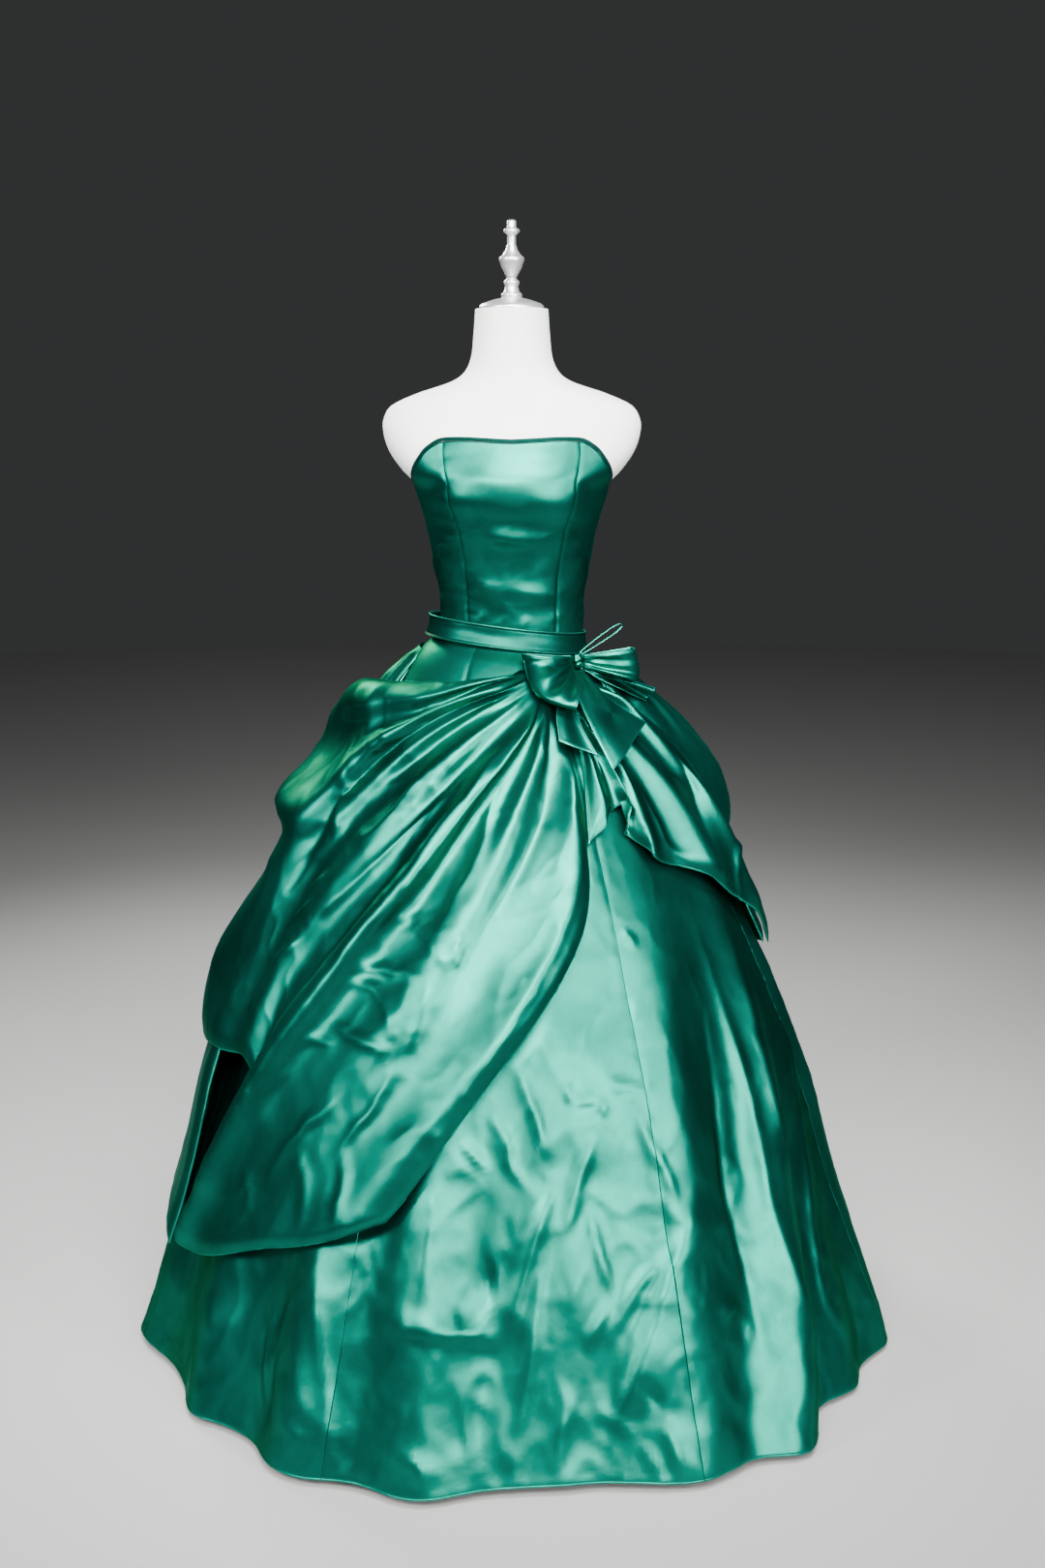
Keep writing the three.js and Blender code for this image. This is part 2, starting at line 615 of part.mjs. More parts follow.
// How far forward the draped cloth reaches, in millimetres across and up from the knot
function coverDepth(across, up) {
  const [x, z] = [KNOT.x + across, KNOT.z + up];
  const out = mix(3.5, curve(COVER.z, COVER.out, z), ramp(6, 36, Math.hypot(across, up)));
  let angle = 0;
  for (let i = 0; i < 6; i++) {
    const { half } = skirtSection(angle, z);
    angle = Math.asin(clamp(x / (half + out), -1, 1)) / RADIANS;
  }
  return (skirtSection(angle, z).front + out) * Math.cos(angle * RADIANS);
}

// A point of the bow, in millimetres across, up and out from the knot: it lies over the cloth below.
function bowPoint(across, up, out) {
  const [x, z] = [KNOT.x + across, KNOT.z + up];
  const plane = -KNOT.y - across * Math.tan(BOW_TURN * RADIANS);
  const depth = softMax(plane, coverDepth(across, up), 8) - softMax(0, -8, 8);
  return new THREE.Vector3(x, -depth, z).addScaledVector(BOW_OUT, out);
}

// A loop leaves the knot, opens out to its far fold and comes back behind itself.
const BOW_LOOPS = [
  { name: "bow_loop_right", side: -1, root: 6.8, high: [-84, 16], low: [-16, -58], full: 15, depth: 15 },
  { name: "bow_loop_left", side: 1, root: 6, high: [80, 18], low: [86, -34], full: 6, depth: 13 },
];
const LOOP_ROOT_HALF = 8.4;
const LOOP_PLEAT = 4;

function bowLoop({ side, root, high, low, full, depth }) {
  const point = (u, v) => {
    const turn = mix(0.004, 0.996, u);
    const along = 1 - Math.abs(2 * turn - 1);
    const reach = Math.sin((along * Math.PI) / 2);
    const swell = depth * Math.sin(Math.PI * Math.min(along, 0.999)) ** 0.75;
    const round = full * Math.sin(Math.PI * v);
    const rim = [mix(high[0], low[0], v) + side * round, mix(high[1], low[1], v) - round];
    const face = turn < 0.5 ? 1 : -1;
    const fold = face > 0 ? 4 * LOOP_PLEAT * Math.sin(3 * Math.PI * v) * (1 - reach) * along : 0;
    return bowPoint(
      mix(side * root, rim[0], reach),
      mix(LOOP_ROOT_HALF * (1 - 2 * v), rim[1], reach),
      swell + 5 * ramp(0, 0.3, along) + face * (1.8 + swell) + fold,
    );
  };
  return clothWall({ point, columns: 14, rows: 6, thick: RIBBON_WALL, facing: () => BOW_OUT, probe: 0.2 });
}

// Tails of ribbon: their edges at the knot, half way and at the cut end, and how far they stand out
const BOW_TAILS = [
  {
    name: "bow_tail_front",
    left: [[-5, -12.9], [-1, -52], [42, -137]],
    right: [[6, -12.9], [52, -56], [92, -84]],
    out: [1, 13, 9],
    roll: 5,
  },
  {
    name: "bow_tail_back",
    left: [[-8, -12.2], [-30, -58], [-29, -98]],
    right: [[1, -13], [0, -66], [27, -120]],
    out: [-2.4, -5, -2],
    roll: 3,
  },
  {
    name: "bow_tail_side",
    left: [[7.6, -7.5], [60, -26], [120, -46]],
    right: [[6, -11.3], [58, -38], [106, -66]],
    out: [-2.7, 0, 0],
    roll: 4,
  },
];

function bowTail({ left, right, out, roll }) {
  const stations = [0, 0.45, 1];
  const point = (u, v) => {
    const edge = (rows, axis) => curve(stations, column(rows, axis), v);
    return bowPoint(
      mix(edge(left, 0), edge(right, 0), u),
      mix(edge(left, 1), edge(right, 1), u),
      curve(stations, out, v) + roll * Math.sin(2 * Math.PI * u) * v,
    );
  };
  return clothWall({ point, columns: 5, rows: 7, thick: RIBBON_WALL, facing: () => BOW_OUT });
}

// The thin loop of narrow ribbon that springs up beside the knot
const THIN_LOOP = { start: 4, length: 75, half: 6.5, width: 5, thick: 1, lean: 33, rise: 9 };

function bowThinLoop() {
  const lean = THIN_LOOP.lean * RADIANS;
  const place = (along, across, out) =>
    bowPoint(
      along * Math.cos(lean) - across * Math.sin(lean),
      THIN_LOOP.rise + along * Math.sin(lean) + across * Math.cos(lean),
      out,
    );
  const point = (u, v) => {
    const turn = 2 * Math.PI * u;
    const reach = (1 - Math.cos(turn)) / 2;
    const side = Math.sign(Math.sin(turn)) * Math.abs(Math.sin(turn)) ** 0.55;
    return place(
      THIN_LOOP.start + THIN_LOOP.length * reach,
      THIN_LOOP.half * side * (0.6 + 0.4 * reach),
      THIN_LOOP.width * (v - 0.5),
    );
  };
  const middle = place(THIN_LOOP.start + THIN_LOOP.length / 2, 0, 0);
  const facing = (p) => p.clone().sub(middle);
  return clothWall({ point, columns: 24, rows: 1, thick: THIN_LOOP.thick, facing, ring: true });
}

function bowKnot() {
  const ball = new THREE.SphereGeometry(1, 14, 9).rotateX(Math.PI / 2);
  return ball.scale(KNOT_SIZE.x, KNOT_SIZE.y, KNOT_SIZE.z).translate(KNOT.x, KNOT.y, KNOT.z);
}

// The form and its stand

function dressForm() {
  const sides = 36;
  const shoulderRings = [1338, 1362, 1391];
  const heights = [...column(FORM_SECTIONS, "z"), ...shoulderRings].sort((a, b) => a - b);
  const ring = (z) => Array.from({ length: sides }, (_, i) => formPoint((i * 360) / sides, z));
  return loft(heights.map(ring));
}

// A turned piece from rows of radius and height, standing on +Z
function turnedPiece(rows, sides) {
  const outline = rows.map(([radius, z]) => new THREE.Vector2(radius, z));
  const geometry = new THREE.LatheGeometry(outline, sides);
  return geometry.rotateX(Math.PI / 2);
}

const CAP_PROFILE = [[0, 1584.3], [48, 1584.3], [48, 1588], [44, 1592], [26, 1598], [17, 1600], [0, 1600]];
const FINIAL_PROFILE = [
  [0, 1600.3], [15, 1600.3], [15.5, 1606], [11.5, 1609], [9.5, 1617], [11.5, 1621], [11.5, 1624],
  [7, 1628], [9, 1633], [15, 1644], [18.6, 1654], [18.6, 1658], [13.5, 1662], [9, 1669], [6.4, 1677],
  [6.4, 1690], [12, 1694.5], [12, 1698], [6.8, 1701], [6.8, 1710], [5, 1712], [0, 1712],
];
const BASE_PROFILE = [
  [0, 0], [BASE_RADIUS, 0], [BASE_RADIUS, 9], [BASE_RADIUS - 8, 14],
  [40, 18], [24, BASE_HEIGHT], [0, BASE_HEIGHT],
];

function pole() {
  const [low, high] = [BASE_HEIGHT + SEAM_GAP, FORM_BOTTOM - SEAM_GAP];
  const rod = new THREE.CylinderGeometry(POLE_RADIUS, POLE_RADIUS, high - low, 20);
  return rod.rotateX(Math.PI / 2).translate(0, 0, (low + high) / 2);
}

// Materials and the whole

const material = (color, roughness, metalness) =>
  new THREE.MeshStandardMaterial({ color, roughness, metalness });
const SATIN = material(0x1f8f72, 0.35, 0.15);
const BELT_SATIN = material(0x0b4a3a, 0.4, 0.15);
const BINDING = material(0x06251d, 0.6, 0);
const FORM_COVER = material(0xf1f1ec, 0.75, 0);
const CHROME = material(0xd8d8d6, 0.2, 1);
const PAINTED_STEEL = material(0x2a2a2b, 0.5, 0.3);

const gown = new THREE.Group();

function add(name, geometry, finish, parent = gown) {
  const mesh = new THREE.Mesh(geometry, finish);
  mesh.name = name;
  parent.add(mesh);
  return mesh;
}

const stand = new THREE.Group();
gown.add(stand);
add("stand_base", turnedPiece(BASE_PROFILE, 36), PAINTED_STEEL, stand);
add("stand_pole", pole(), PAINTED_STEEL, stand);
add("dress_form", dressForm(), FORM_COVER, stand);
add("neck_cap", turnedPiece(CAP_PROFILE, 24), CHROME, stand);
add("finial", turnedPiece(FINIAL_PROFILE, 14), CHROME, stand);

for (const panel of BODICE_PANELS) add(panel.name, bodicePanel(panel), SATIN);
add("neckline_binding", neckBinding(), BINDING);
add("belt", belt(), BELT_SATIN);
GORE_NAMES.forEach((name, i) => add(name, skirtGore(GORE_SEAMS[i], GORE_SEAMS[i + 1]), SATIN));

const drape = (point, columns, rows) =>
  clothWall({ point, columns, rows, thick: DRAPE_WALL, facing: awayFromAxis });
add("overskirt_back", drape(tailPoint, 24, 13), SATIN);
add("overskirt_right_drape", drape(leftPoint, 26, 15), SATIN);
add("overskirt_left_drape", drape(rightPoint, 18, 11), SATIN);
for (const pouf of POUFS) add(pouf.name, drape(poufPoint(pouf), 12, 10), SATIN);

add("bow_knot", bowKnot(), SATIN);
for (const loop of BOW_LOOPS) add(loop.name, bowLoop(loop), SATIN);
add("bow_thin_loop", bowThinLoop(), SATIN);
for (const tail of BOW_TAILS) add(tail.name, bowTail(tail), SATIN);

export default gown;
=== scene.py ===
"""A strapless satin ball gown with a belt, a hip bow and a draped overskirt, on a limbless dress form."""

import logging
import math
from dataclasses import dataclass
from enum import Enum
from functools import partial
from typing import Callable, Optional, Union

import bpy
import numpy as np
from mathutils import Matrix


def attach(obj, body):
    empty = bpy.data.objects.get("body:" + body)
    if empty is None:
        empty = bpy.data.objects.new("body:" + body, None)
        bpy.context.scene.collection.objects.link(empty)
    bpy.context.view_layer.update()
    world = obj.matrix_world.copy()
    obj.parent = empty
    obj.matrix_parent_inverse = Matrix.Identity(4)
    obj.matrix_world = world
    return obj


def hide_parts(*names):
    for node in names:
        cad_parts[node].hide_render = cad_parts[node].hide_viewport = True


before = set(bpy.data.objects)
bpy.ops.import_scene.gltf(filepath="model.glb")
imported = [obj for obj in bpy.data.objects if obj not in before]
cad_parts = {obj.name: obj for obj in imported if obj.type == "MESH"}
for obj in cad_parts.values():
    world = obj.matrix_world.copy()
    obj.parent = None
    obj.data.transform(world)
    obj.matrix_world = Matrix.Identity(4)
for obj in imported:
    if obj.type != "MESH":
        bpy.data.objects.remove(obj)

LOG = logging.getLogger("gown")
Array = np.ndarray
Number = Union[float, Array]
MM = 0.001

# Shared sizes of the gown, in millimetres
WAIST = 1104.0
WAIST_TILT = 14.0
WAIST_RADIUS = 105.0
POUF_DROP = 34.0
HEM = 10.0
SEAM_GAP = 0.3
REST_GAP = 0.9
FORM_GAP = 2.1
LAYER_GAP = 7.0
BODICE_WALL = 2.4
SKIRT_WALL = 2.0
DRAPE_WALL = 2.0
RIBBON_WALL = 1.5
THIN_WALL = 1.0
BELT_WALL = 2.2
BINDING_WALL = 2.6

# The least side that a sheet's measured width and length are held to, in metres, and the least share of its
# rectangle. The least side that a sheet may be declared with, in metres, and the least share of its
# rectangle
LEAST_SIDE = 0.0101
LEAST_SHARE = 0.31

# Ways that turn a point's place into the way out from the figure
LEVEL = np.array([1, 1, 0])
OUT_AND_UP = np.array([1, 1, 0.4])


class Held(str, Enum):
    """How a sheet of cloth is held."""

    DRAPED = "draped"
    GATHERED = "gathered"
    FOLDED = "folded"
    STRETCHED = "stretched"


# Small functions of shape, which take single numbers or whole grids


def mix(a: Number, b: Number, t: Number) -> Number:
    """The value a share t of the way from a to b."""
    return a + (b - a) * t


def bump(x: Number) -> Number:
    """A smooth hump of height 1 at 0."""
    return np.exp(-np.square(x))


def ramp(start: float, end: float, x: Number) -> Number:
    """A smooth step from 0 at start to 1 at end."""
    t = np.clip((np.asarray(x, float) - start) / (end - start), 0, 1)
    return t * t * (3 - 2 * t)


def soft_max(a: Number, b: Number, rounding: float) -> Number:
    """The larger of two values, rounded over where they meet."""
    return (a + b + np.sqrt(np.square(a - b) + rounding**2)) / 2


def turned(angle: Number) -> Number:
    """An angle in degrees brought to between -180 and 180."""
    return np.mod(np.asarray(angle, float) + 180, 360) - 180


def unit(vectors: Array) -> Array:
    """Vectors brought to length 1."""
    return vectors / np.maximum(np.linalg.norm(vectors, axis=-1, keepdims=True), 1e-9)


def row_at(grid: Array, rows: Array) -> Array:
    """The value of each column of a grid at its own row."""
    return np.take_along_axis(grid, rows[None], axis=0)[0]


def curve(places: Array, values: Array, at: Number) -> Array:
    """A smooth curve through points, read at one place or many.

    Args:
        places: Rising places of the points.
        values: The value at each place, or one grid of values for each place.
        at: Where the curve is read.

    Returns:
        The values of the curve.
    """
    xs = np.asarray(places, float)
    ys = np.asarray(values, float)
    at = np.clip(np.asarray(at, float), xs[0], xs[-1])
    last = len(xs) - 1
    low = np.maximum(np.arange(last + 1) - 1, 0)
    high = np.minimum(np.arange(last + 1) + 1, last)
    span = (xs[high] - xs[low]).reshape((-1,) + (1,) * (ys.ndim - 1))
    slopes = (ys[high] - ys[low]) / span
    i = np.searchsorted(xs[1:last], at, side="left")
    width = xs[i + 1] - xs[i]
    t = (at - xs[i]) / width
    pick = row_at if ys.ndim > 1 else np.take
    y0 = pick(ys, i)
    m0, m1 = pick(slopes, i) * width, pick(slopes, i + 1) * width
    rise = pick(ys, i + 1) - y0
    return y0 + t * (m0 + t * (3 * rise - 2 * m0 - m1 + t * (m0 + m1 - 2 * rise)))


def column_at(rows: tuple, column: int, place: Number) -> Number:
    """A column of a table, read smoothly at a place of its first column."""
    table = np.asarray(rows, float)
    return curve(table[:, 0], table[:, column], place)


def section_at(rows: tuple, z: Number) -> tuple:
    """The half width and the front and back depths of a table of sections, read at a height."""
    return tuple(column_at(rows, column, z) for column in (1, 2, 3))


def around(section: tuple, angle: Number, z: Number, out: Number) -> Array:
    """Points of an upright surface, moved out level by some millimetres.

    Args:
        section: Half width, front depth and back depth at each point.
        angle: Degrees round the figure from the front middle.
        z: Height.
        out: How far outside the section the point stands.

    Returns:
        The points, with x, y and z along the last axis.
    """
    half, front, back = section
    s, c = np.sin(np.radians(angle)), np.cos(np.radians(angle))
    depth = np.where(c > 0, front, back)
    return np.stack(np.broadcast_arrays((half + out) * s, -(depth + out) * c, z), axis=-1)


def waist_at(angle: Number) -> Number:
    """Height of the waist seam, which slopes down towards the bow."""
    return WAIST - WAIST_TILT * np.sin(np.radians(angle))


def swell_rise(swells: tuple, angle: Number, z: Number) -> Number:
    """Rise of the broad swells of a cloth over the skirt.

    Args:
        swells: Rows of angle, height, rise, half width, and half height above and below.
        angle: Degrees round the figure.
        z: Height.

    Returns:
        The rise of all of them together.
    """
    total = 0
    for at, height, rise, wide, above, below in swells:
        tall = np.where(z > height, above, below)
        total = total + rise * bump(turned(angle - at) / wide) * bump((z - height) / tall)
    return total


# Creases and crumples of the satin


@dataclass(frozen=True)
class Stroke:
    """One crease or fold that is drawn on the cloth.

    Args:
        rise: How far it stands out, or in where it is less than 0.
        left: Its half width on one side.
        right: Its half width on the other.
        line: Its line, as angles and heights.
        start: The span of its line over which it grows.
        stop: The span over which it fades.
        fall: How steeply its sides fall.
    """

    rise: float
    left: float
    right: float
    line: tuple
    start: tuple = (-0.02, 0.4)
    stop: tuple = (0.55, 1.02)
    fall: float = 1.6

    def places(self) -> tuple:
        """Angles and heights along its line, close together.

        Returns:
            The angles, and the heights.
        """
        line = np.asarray(self.line, float)
        fine = np.linspace(0, 1, max(4 * len(line), 9))
        at = np.linspace(0, 1, len(line))
        return curve(at, line[:, 0], fine), curve(at, line[:, 1], fine)

    def relief(self, points: Array, normals: Array, path: Array, spread: float) -> Array:
        """How far the crease moves each point of a cloth out.

        Args:
            points: Grid of points of the cloth.
            normals: Their normals.
            path: Its line, as points on the cloth.
            spread: How much wider than its own width it is laid.

        Returns:
            The rise at each point.
        """
        flat = points.reshape(-1, 3)
        reach = 3 * spread * max(self.left, self.right)
        low, high = path.min(axis=0) - reach, path.max(axis=0) + reach
        near = np.flatnonzero(((flat > low) & (flat < high)).all(axis=1))
        spots, faces = flat[near], normals.reshape(-1, 3)[near]
        best = np.full(len(near), np.inf)
        value = np.zeros(len(near))
        for k in range(len(path) - 1):
            run = path[k + 1] - path[k]
            share = np.clip(((spots - path[k]) @ run) / max(run @ run, 1e-9), 0, 1)
            offset = spots - (path[k] + share[:, None] * run)
            far = np.linalg.norm(offset, axis=1)
            side = np.einsum("ij,ij->i", np.cross(run, faces), offset)
            half = spread * np.where(side > 0, self.left, self.right)
            along = (k + share) / (len(path) - 1)
            fade = ramp(*self.start, along) * (1 - ramp(*self.stop, along))
            height = self.rise * fade * np.exp(-((far / half) ** self.fall))
            value = np.where(far < best, height, value)
            best = np.minimum(far, best)
        rise = np.zeros(len(flat))
        rise[near] = value
        return rise.reshape(points.shape[:2])


def strokes(*rows: tuple) -> tuple:
    """Strokes from rows of rise, half widths and line."""
    return tuple(Stroke(*row) for row in rows)


def drawn(lines: tuple, points: Array, normals: Array, surface: Callable, spread: float = 1.5) -> Array:
    """The rise of several strokes on a cloth.

    Args:
        lines: The strokes.
        points: Grid of points of the cloth.
        normals: Their normals.
        surface: Gives the points of the cloth at angles and heights.
        spread: How much wider than their own width they are laid.

    Returns:
        The rise at each point.
    """
    rise = np.zeros(points.shape[:2])
    for stroke in lines:
        rise = rise + stroke.relief(points, normals, surface(*stroke.places()), spread)
    return rise


@dataclass(frozen=True)
class Ripple:
    """One layer of crumpling, in millimetres.

    Args:
        rise: Its height.
        size: Length of one wave across.
        tall: How much longer a wave is upwards.
        sharp: How thin its ridges are, or 0 for soft waves.
        shift: How far the pattern is moved, so that no two layers match.
    """

    rise: float
    size: float
    tall: float = 1.0
    sharp: float = 0.0
    shift: float = 0.0


@dataclass
class Crumple:
    """Seeded noise through space, which gives the satin its small crumples.

    Args:
        seed: Seed of the random draws.
        cells: Length of the table of directions, a power of 2.
        height: What brings the noise to between about -1 and 1.
        warp: How far ridges wander, as a share of their distance.
        warp_size: Size of that wandering, and how far apart its three patterns lie.
        patch: Size of the patches in which ridges are strong or weak.
        calm: Strength of a ridge between the two.
    """

    seed: int
    cells: int = 512
    height: float = 1.7
    warp: float = 0.35
    warp_size: tuple = (1.7, 900)
    patch: float = 2.3
    calm: float = 0.55

    def __post_init__(self) -> None:
        """Makes the table of directions for the seed."""
        self.spin = np.random.default_rng(self.seed).permutation(self.cells)
        self.lattice = unit(np.random.default_rng(self.seed + 1).normal(size=(self.cells, 3)))

    def wave(self, points: Array, size: float, tall: float = 1.0) -> Array:
        """Smooth noise between about -1 and 1.

        Args:
            points: Points in millimetres.
            size: Size of one wave, in millimetres.
            tall: How much longer a wave is upwards than across.

        Returns:
            The noise at each point.
        """
        at = points / (size * np.array([1, 1, tall]))
        cell = np.floor(at).astype(int)
        part = at - cell
        ease = part**3 * (part * (part * 6 - 15) + 10)
        total = np.zeros(points.shape[:-1])
        for corner in np.ndindex(2, 2, 2):
            index = 0
            for axis in range(3):
                index = self.spin[(index + cell[..., axis] + corner[axis]) & (self.cells - 1)]
            reach = (self.lattice[index] * (part - corner)).sum(axis=-1)
            weight = np.where(np.array(corner) == 1, ease, 1 - ease).prod(axis=-1)
            total += weight * reach
        return self.height * total

    def creases(self, points: Array, size: float, tall: float, sharp: float) -> Array:
        """Noise with thin ridges between smooth hollows, from 0 to 1.

        Args:
            points: Points in millimetres.
            size: Distance between ridges, in millimetres.
            tall: How much longer the pattern is upwards than across.
            sharp: How thin the ridges are.

        Returns:
            The height of the ridges at each point.
        """
        wide, apart = self.warp_size
        ways = [self.wave(points + apart * k, wide * size) for k in (1, 2, 3)]
        shift = self.warp * size * np.stack(ways, axis=-1)
        ridge = np.clip(1 - np.abs(self.wave(points + shift, size, tall)), 0, 1)
        patches = self.calm + (1 - self.calm) * self.wave(points, self.patch * size)
        return ridge**sharp * patches

    def layers(self, points: Array, *ripples: Ripple) -> Array:
        """The height of several ripples together.

        Args:
            points: Points in millimetres.
            ripples: The ripples.

        Returns:
            The height at each point.
        """
        total = np.zeros(points.shape[:-1])
        for ripple in ripples:
            read = partial(self.creases, sharp=ripple.sharp) if ripple.sharp else self.wave
            total = total + ripple.rise * read(points + ripple.shift, ripple.size, ripple.tall)
        return total


# Walls of cloth


def outward(grid: Array, way: Array, ring: bool = False) -> Array:
    """The unit normals of a grid of points.

    Args:
        grid: Points of the cloth, across by along.
        way: The way out, at each point or for all.
        ring: Whether each row closes on itself.

    Returns:
        The normals, turned to the side that the way points to.
    """
    if ring:
        wide = np.concatenate([grid[:, -1:], grid, grid[:, :1]], axis=1)
        across = (wide[:, 2:] - wide[:, :-2]) / 2
    else:
        across = np.gradient(grid, axis=1)
    normal = unit(np.cross(across, np.gradient(grid, axis=0)))
    return normal if float((normal * way).sum(axis=-1).mean()) > 0 else -normal


def edged(steps: int, inset: float) -> Array:
    """Shares from 0 to 1, with one narrow step at each end."""
    return np.concatenate([[0], np.linspace(inset, 1 - inset, steps - 1), [1]])


def shares(columns: int, rows: int, inset: float) -> tuple:
    """Places across and along a cloth, with one narrow step at each edge."""
    return np.meshgrid(edged(columns, inset), edged(rows, inset))


def from_sides(points: Array, u: Array) -> Array:
    """Distance of each point of a cloth from the nearer side, for its share u of the way across."""
    return np.minimum(u, 1 - u) * np.linalg.norm(points[:, -1] - points[:, 0], axis=-1)[:, None]


def strip(line: Array, other: Array) -> Array:
    """Quads between two lines of point numbers."""
    return np.stack([line[:-1], line[1:], other[1:], other[:-1]], axis=-1)


def placed(name: str, mesh: bpy.types.Mesh) -> bpy.types.Object:
    """Puts a mesh in the scene.

    Args:
        name: Name of the piece.
        mesh: Its mesh.

    Returns:
        The new object.
    """
    made = bpy.data.objects.new(name, mesh)
    bpy.context.collection.objects.link(made)
    return made


def fit_out(made: bpy.types.Object, node: str, finish: bpy.types.Material) -> None:
    """Args:
        made: The piece.
        node: The node that it stands for.
        finish: Its material.
    """
    made.data.materials.append(finish)
    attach(made, "root")
    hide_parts(node)


@dataclass
class Cloth:
    """A piece of cloth, from a grid of points on its face side, in millimetres.

    Args:
        node: Node of the part that it stands for.
        smooth: The face before its creases, as rows of points.
        face: The face with its creases.
        way: The way out from the wearer, at each point or for all.
        thick: Thickness of the wall.
        held: How the sheet is held; not used.
        rests_on: What it lies on or hangs from; not used.
        ring: Whether each row closes on itself.
        hems: Which edges have a rolled hem: start, end, first and last.
        roll: How far a rolled hem swells.
        curl: How far a hemmed edge curls in.
        hem_reach: Width of a rolled hem.
        curl_reach: How far from a hemmed edge its curl begins.
    """

    node: str
    smooth: Array
    face: Array
    way: Array
    thick: float
    held: Held
    rests_on: tuple
    ring: bool = False
    hems: tuple = ()
    roll: float = 0.8
    curl: float = 0.0
    hem_reach: float = 7.0
    curl_reach: float = 30.0

    def measure(self) -> tuple:
        """Steps in metres across and along the smooth face, and its area in square metres.

        Returns:
            The steps across, the steps along, and the area.
        """
        grid = self.smooth * MM
        if self.ring:
            grid = np.concatenate([grid, grid[:, :1]], axis=1)
        across, along = (np.linalg.norm(np.diff(grid, axis=axis), axis=-1) for axis in (1, 0))
        cross = grid[1:, 1:] - grid[:-1, :-1]
        one = np.cross(grid[:-1, 1:] - grid[:-1, :-1], cross)
        two = np.cross(cross, grid[1:, :-1] - grid[:-1, :-1])
        area = (np.linalg.norm(one, axis=-1) + np.linalg.norm(two, axis=-1)).sum() / 2
        return across, along, float(area)

    def hem_share(self, reach: float) -> Array:
        """How near each point is to a hemmed edge.

        Args:
            reach: Distance in millimetres at which an edge no longer counts.

        Returns:
            1 at the edge, falling to 0 at the reach.
        """
        spans = {}
        for axis, near, far in ((1, "start", "end"), (0, "first", "last")):
            steps = np.linalg.norm(np.diff(self.face, axis=axis), axis=-1)
            spans[near] = np.cumsum(np.insert(steps, 0, 0, axis=axis), axis=axis)
            spans[far] = np.take(spans[near], [-1], axis=axis) - spans[near]
        share = np.zeros(self.face.shape[:2])
        for hem in self.hems:
            share = np.maximum(share, 1 - np.clip(spans[hem] / reach, 0, 1))
        return share

    def quads(self, points: Array) -> Array:
        """The quads of both sides of the wall and of its edges.

        Args:
            points: Points of the face side and then of the back, in metres.

        Returns:
            Four point numbers each, facing out.
        """
        rows, columns = self.face.shape[:2]
        count = rows * columns
        ids = np.arange(count).reshape(rows, columns)
        if self.ring:
            ids = np.concatenate([ids, ids[:, :1]], axis=1)
        corners = (ids[:-1, :-1], ids[:-1, 1:], ids[1:, 1:], ids[1:, :-1])
        side = np.stack(corners, axis=-1).reshape(-1, 4)
        parts = [side, side[:, ::-1] + count, strip(ids[0] + count, ids[0]), strip(ids[-1], ids[-1] + count)]
        if not self.ring:
            left, right = ids[:, 0], ids[:, -1]
            parts += [strip(left, left + count), strip(right + count, right)]
        faces = np.concatenate(parts)
        a, b, c, d = (points[faces[:, k]] for k in range(4))
        volume = np.einsum("ij,ij->", a, np.cross(b, c)) + np.einsum("ij,ij->", a, np.cross(c, d))
        return faces if volume > 0 else faces[:, ::-1]

    def build(self, ending: str, finish: bpy.types.Material, slot: str) -> bpy.types.Object:
        """Args:
            ending: What its name adds to its node's.
            finish: Material of the cloth.
            slot: Not used.

        Returns:
            The new object.
        """
        hem = self.hem_share(self.hem_reach)
        normal = outward(self.face, self.way, self.ring)
        swell = (0.5 * self.roll * np.sin(np.pi * np.clip(1 - hem, 0, 1)) * (hem > 0))[..., None]
        curled = self.face - normal * (self.curl * np.square(self.hem_share(self.curl_reach)))[..., None]
        sides = np.stack([curled + normal * swell, curled - normal * (self.thick + swell)])
        points = sides.reshape(-1, 3) * MM
        across, along, area = self.measure()
        flat = np.meshgrid(
            np.concatenate([[0], np.cumsum(across.mean(axis=0))])[: hem.shape[1]],
            np.concatenate([[0], np.cumsum(along.mean(axis=1))]),
        )
        faces = self.quads(points)
        made = self.mesh_object(f"{self.node}_{ending}", points, faces, np.stack(flat, axis=-1), hem)
        fit_out(made, self.node, finish)
        width = max(float(across.sum(axis=1).max()), LEAST_SIDE)
        length = max(float(along.sum(axis=0).max()), LEAST_SIDE)
        share = min(max(area / (width * length), LEAST_SHARE), 1.0)
        share * width * length
        LOG.info("%s: %d faces, %.2f x %.2f m", made.name, len(faces), width, length)
        return made

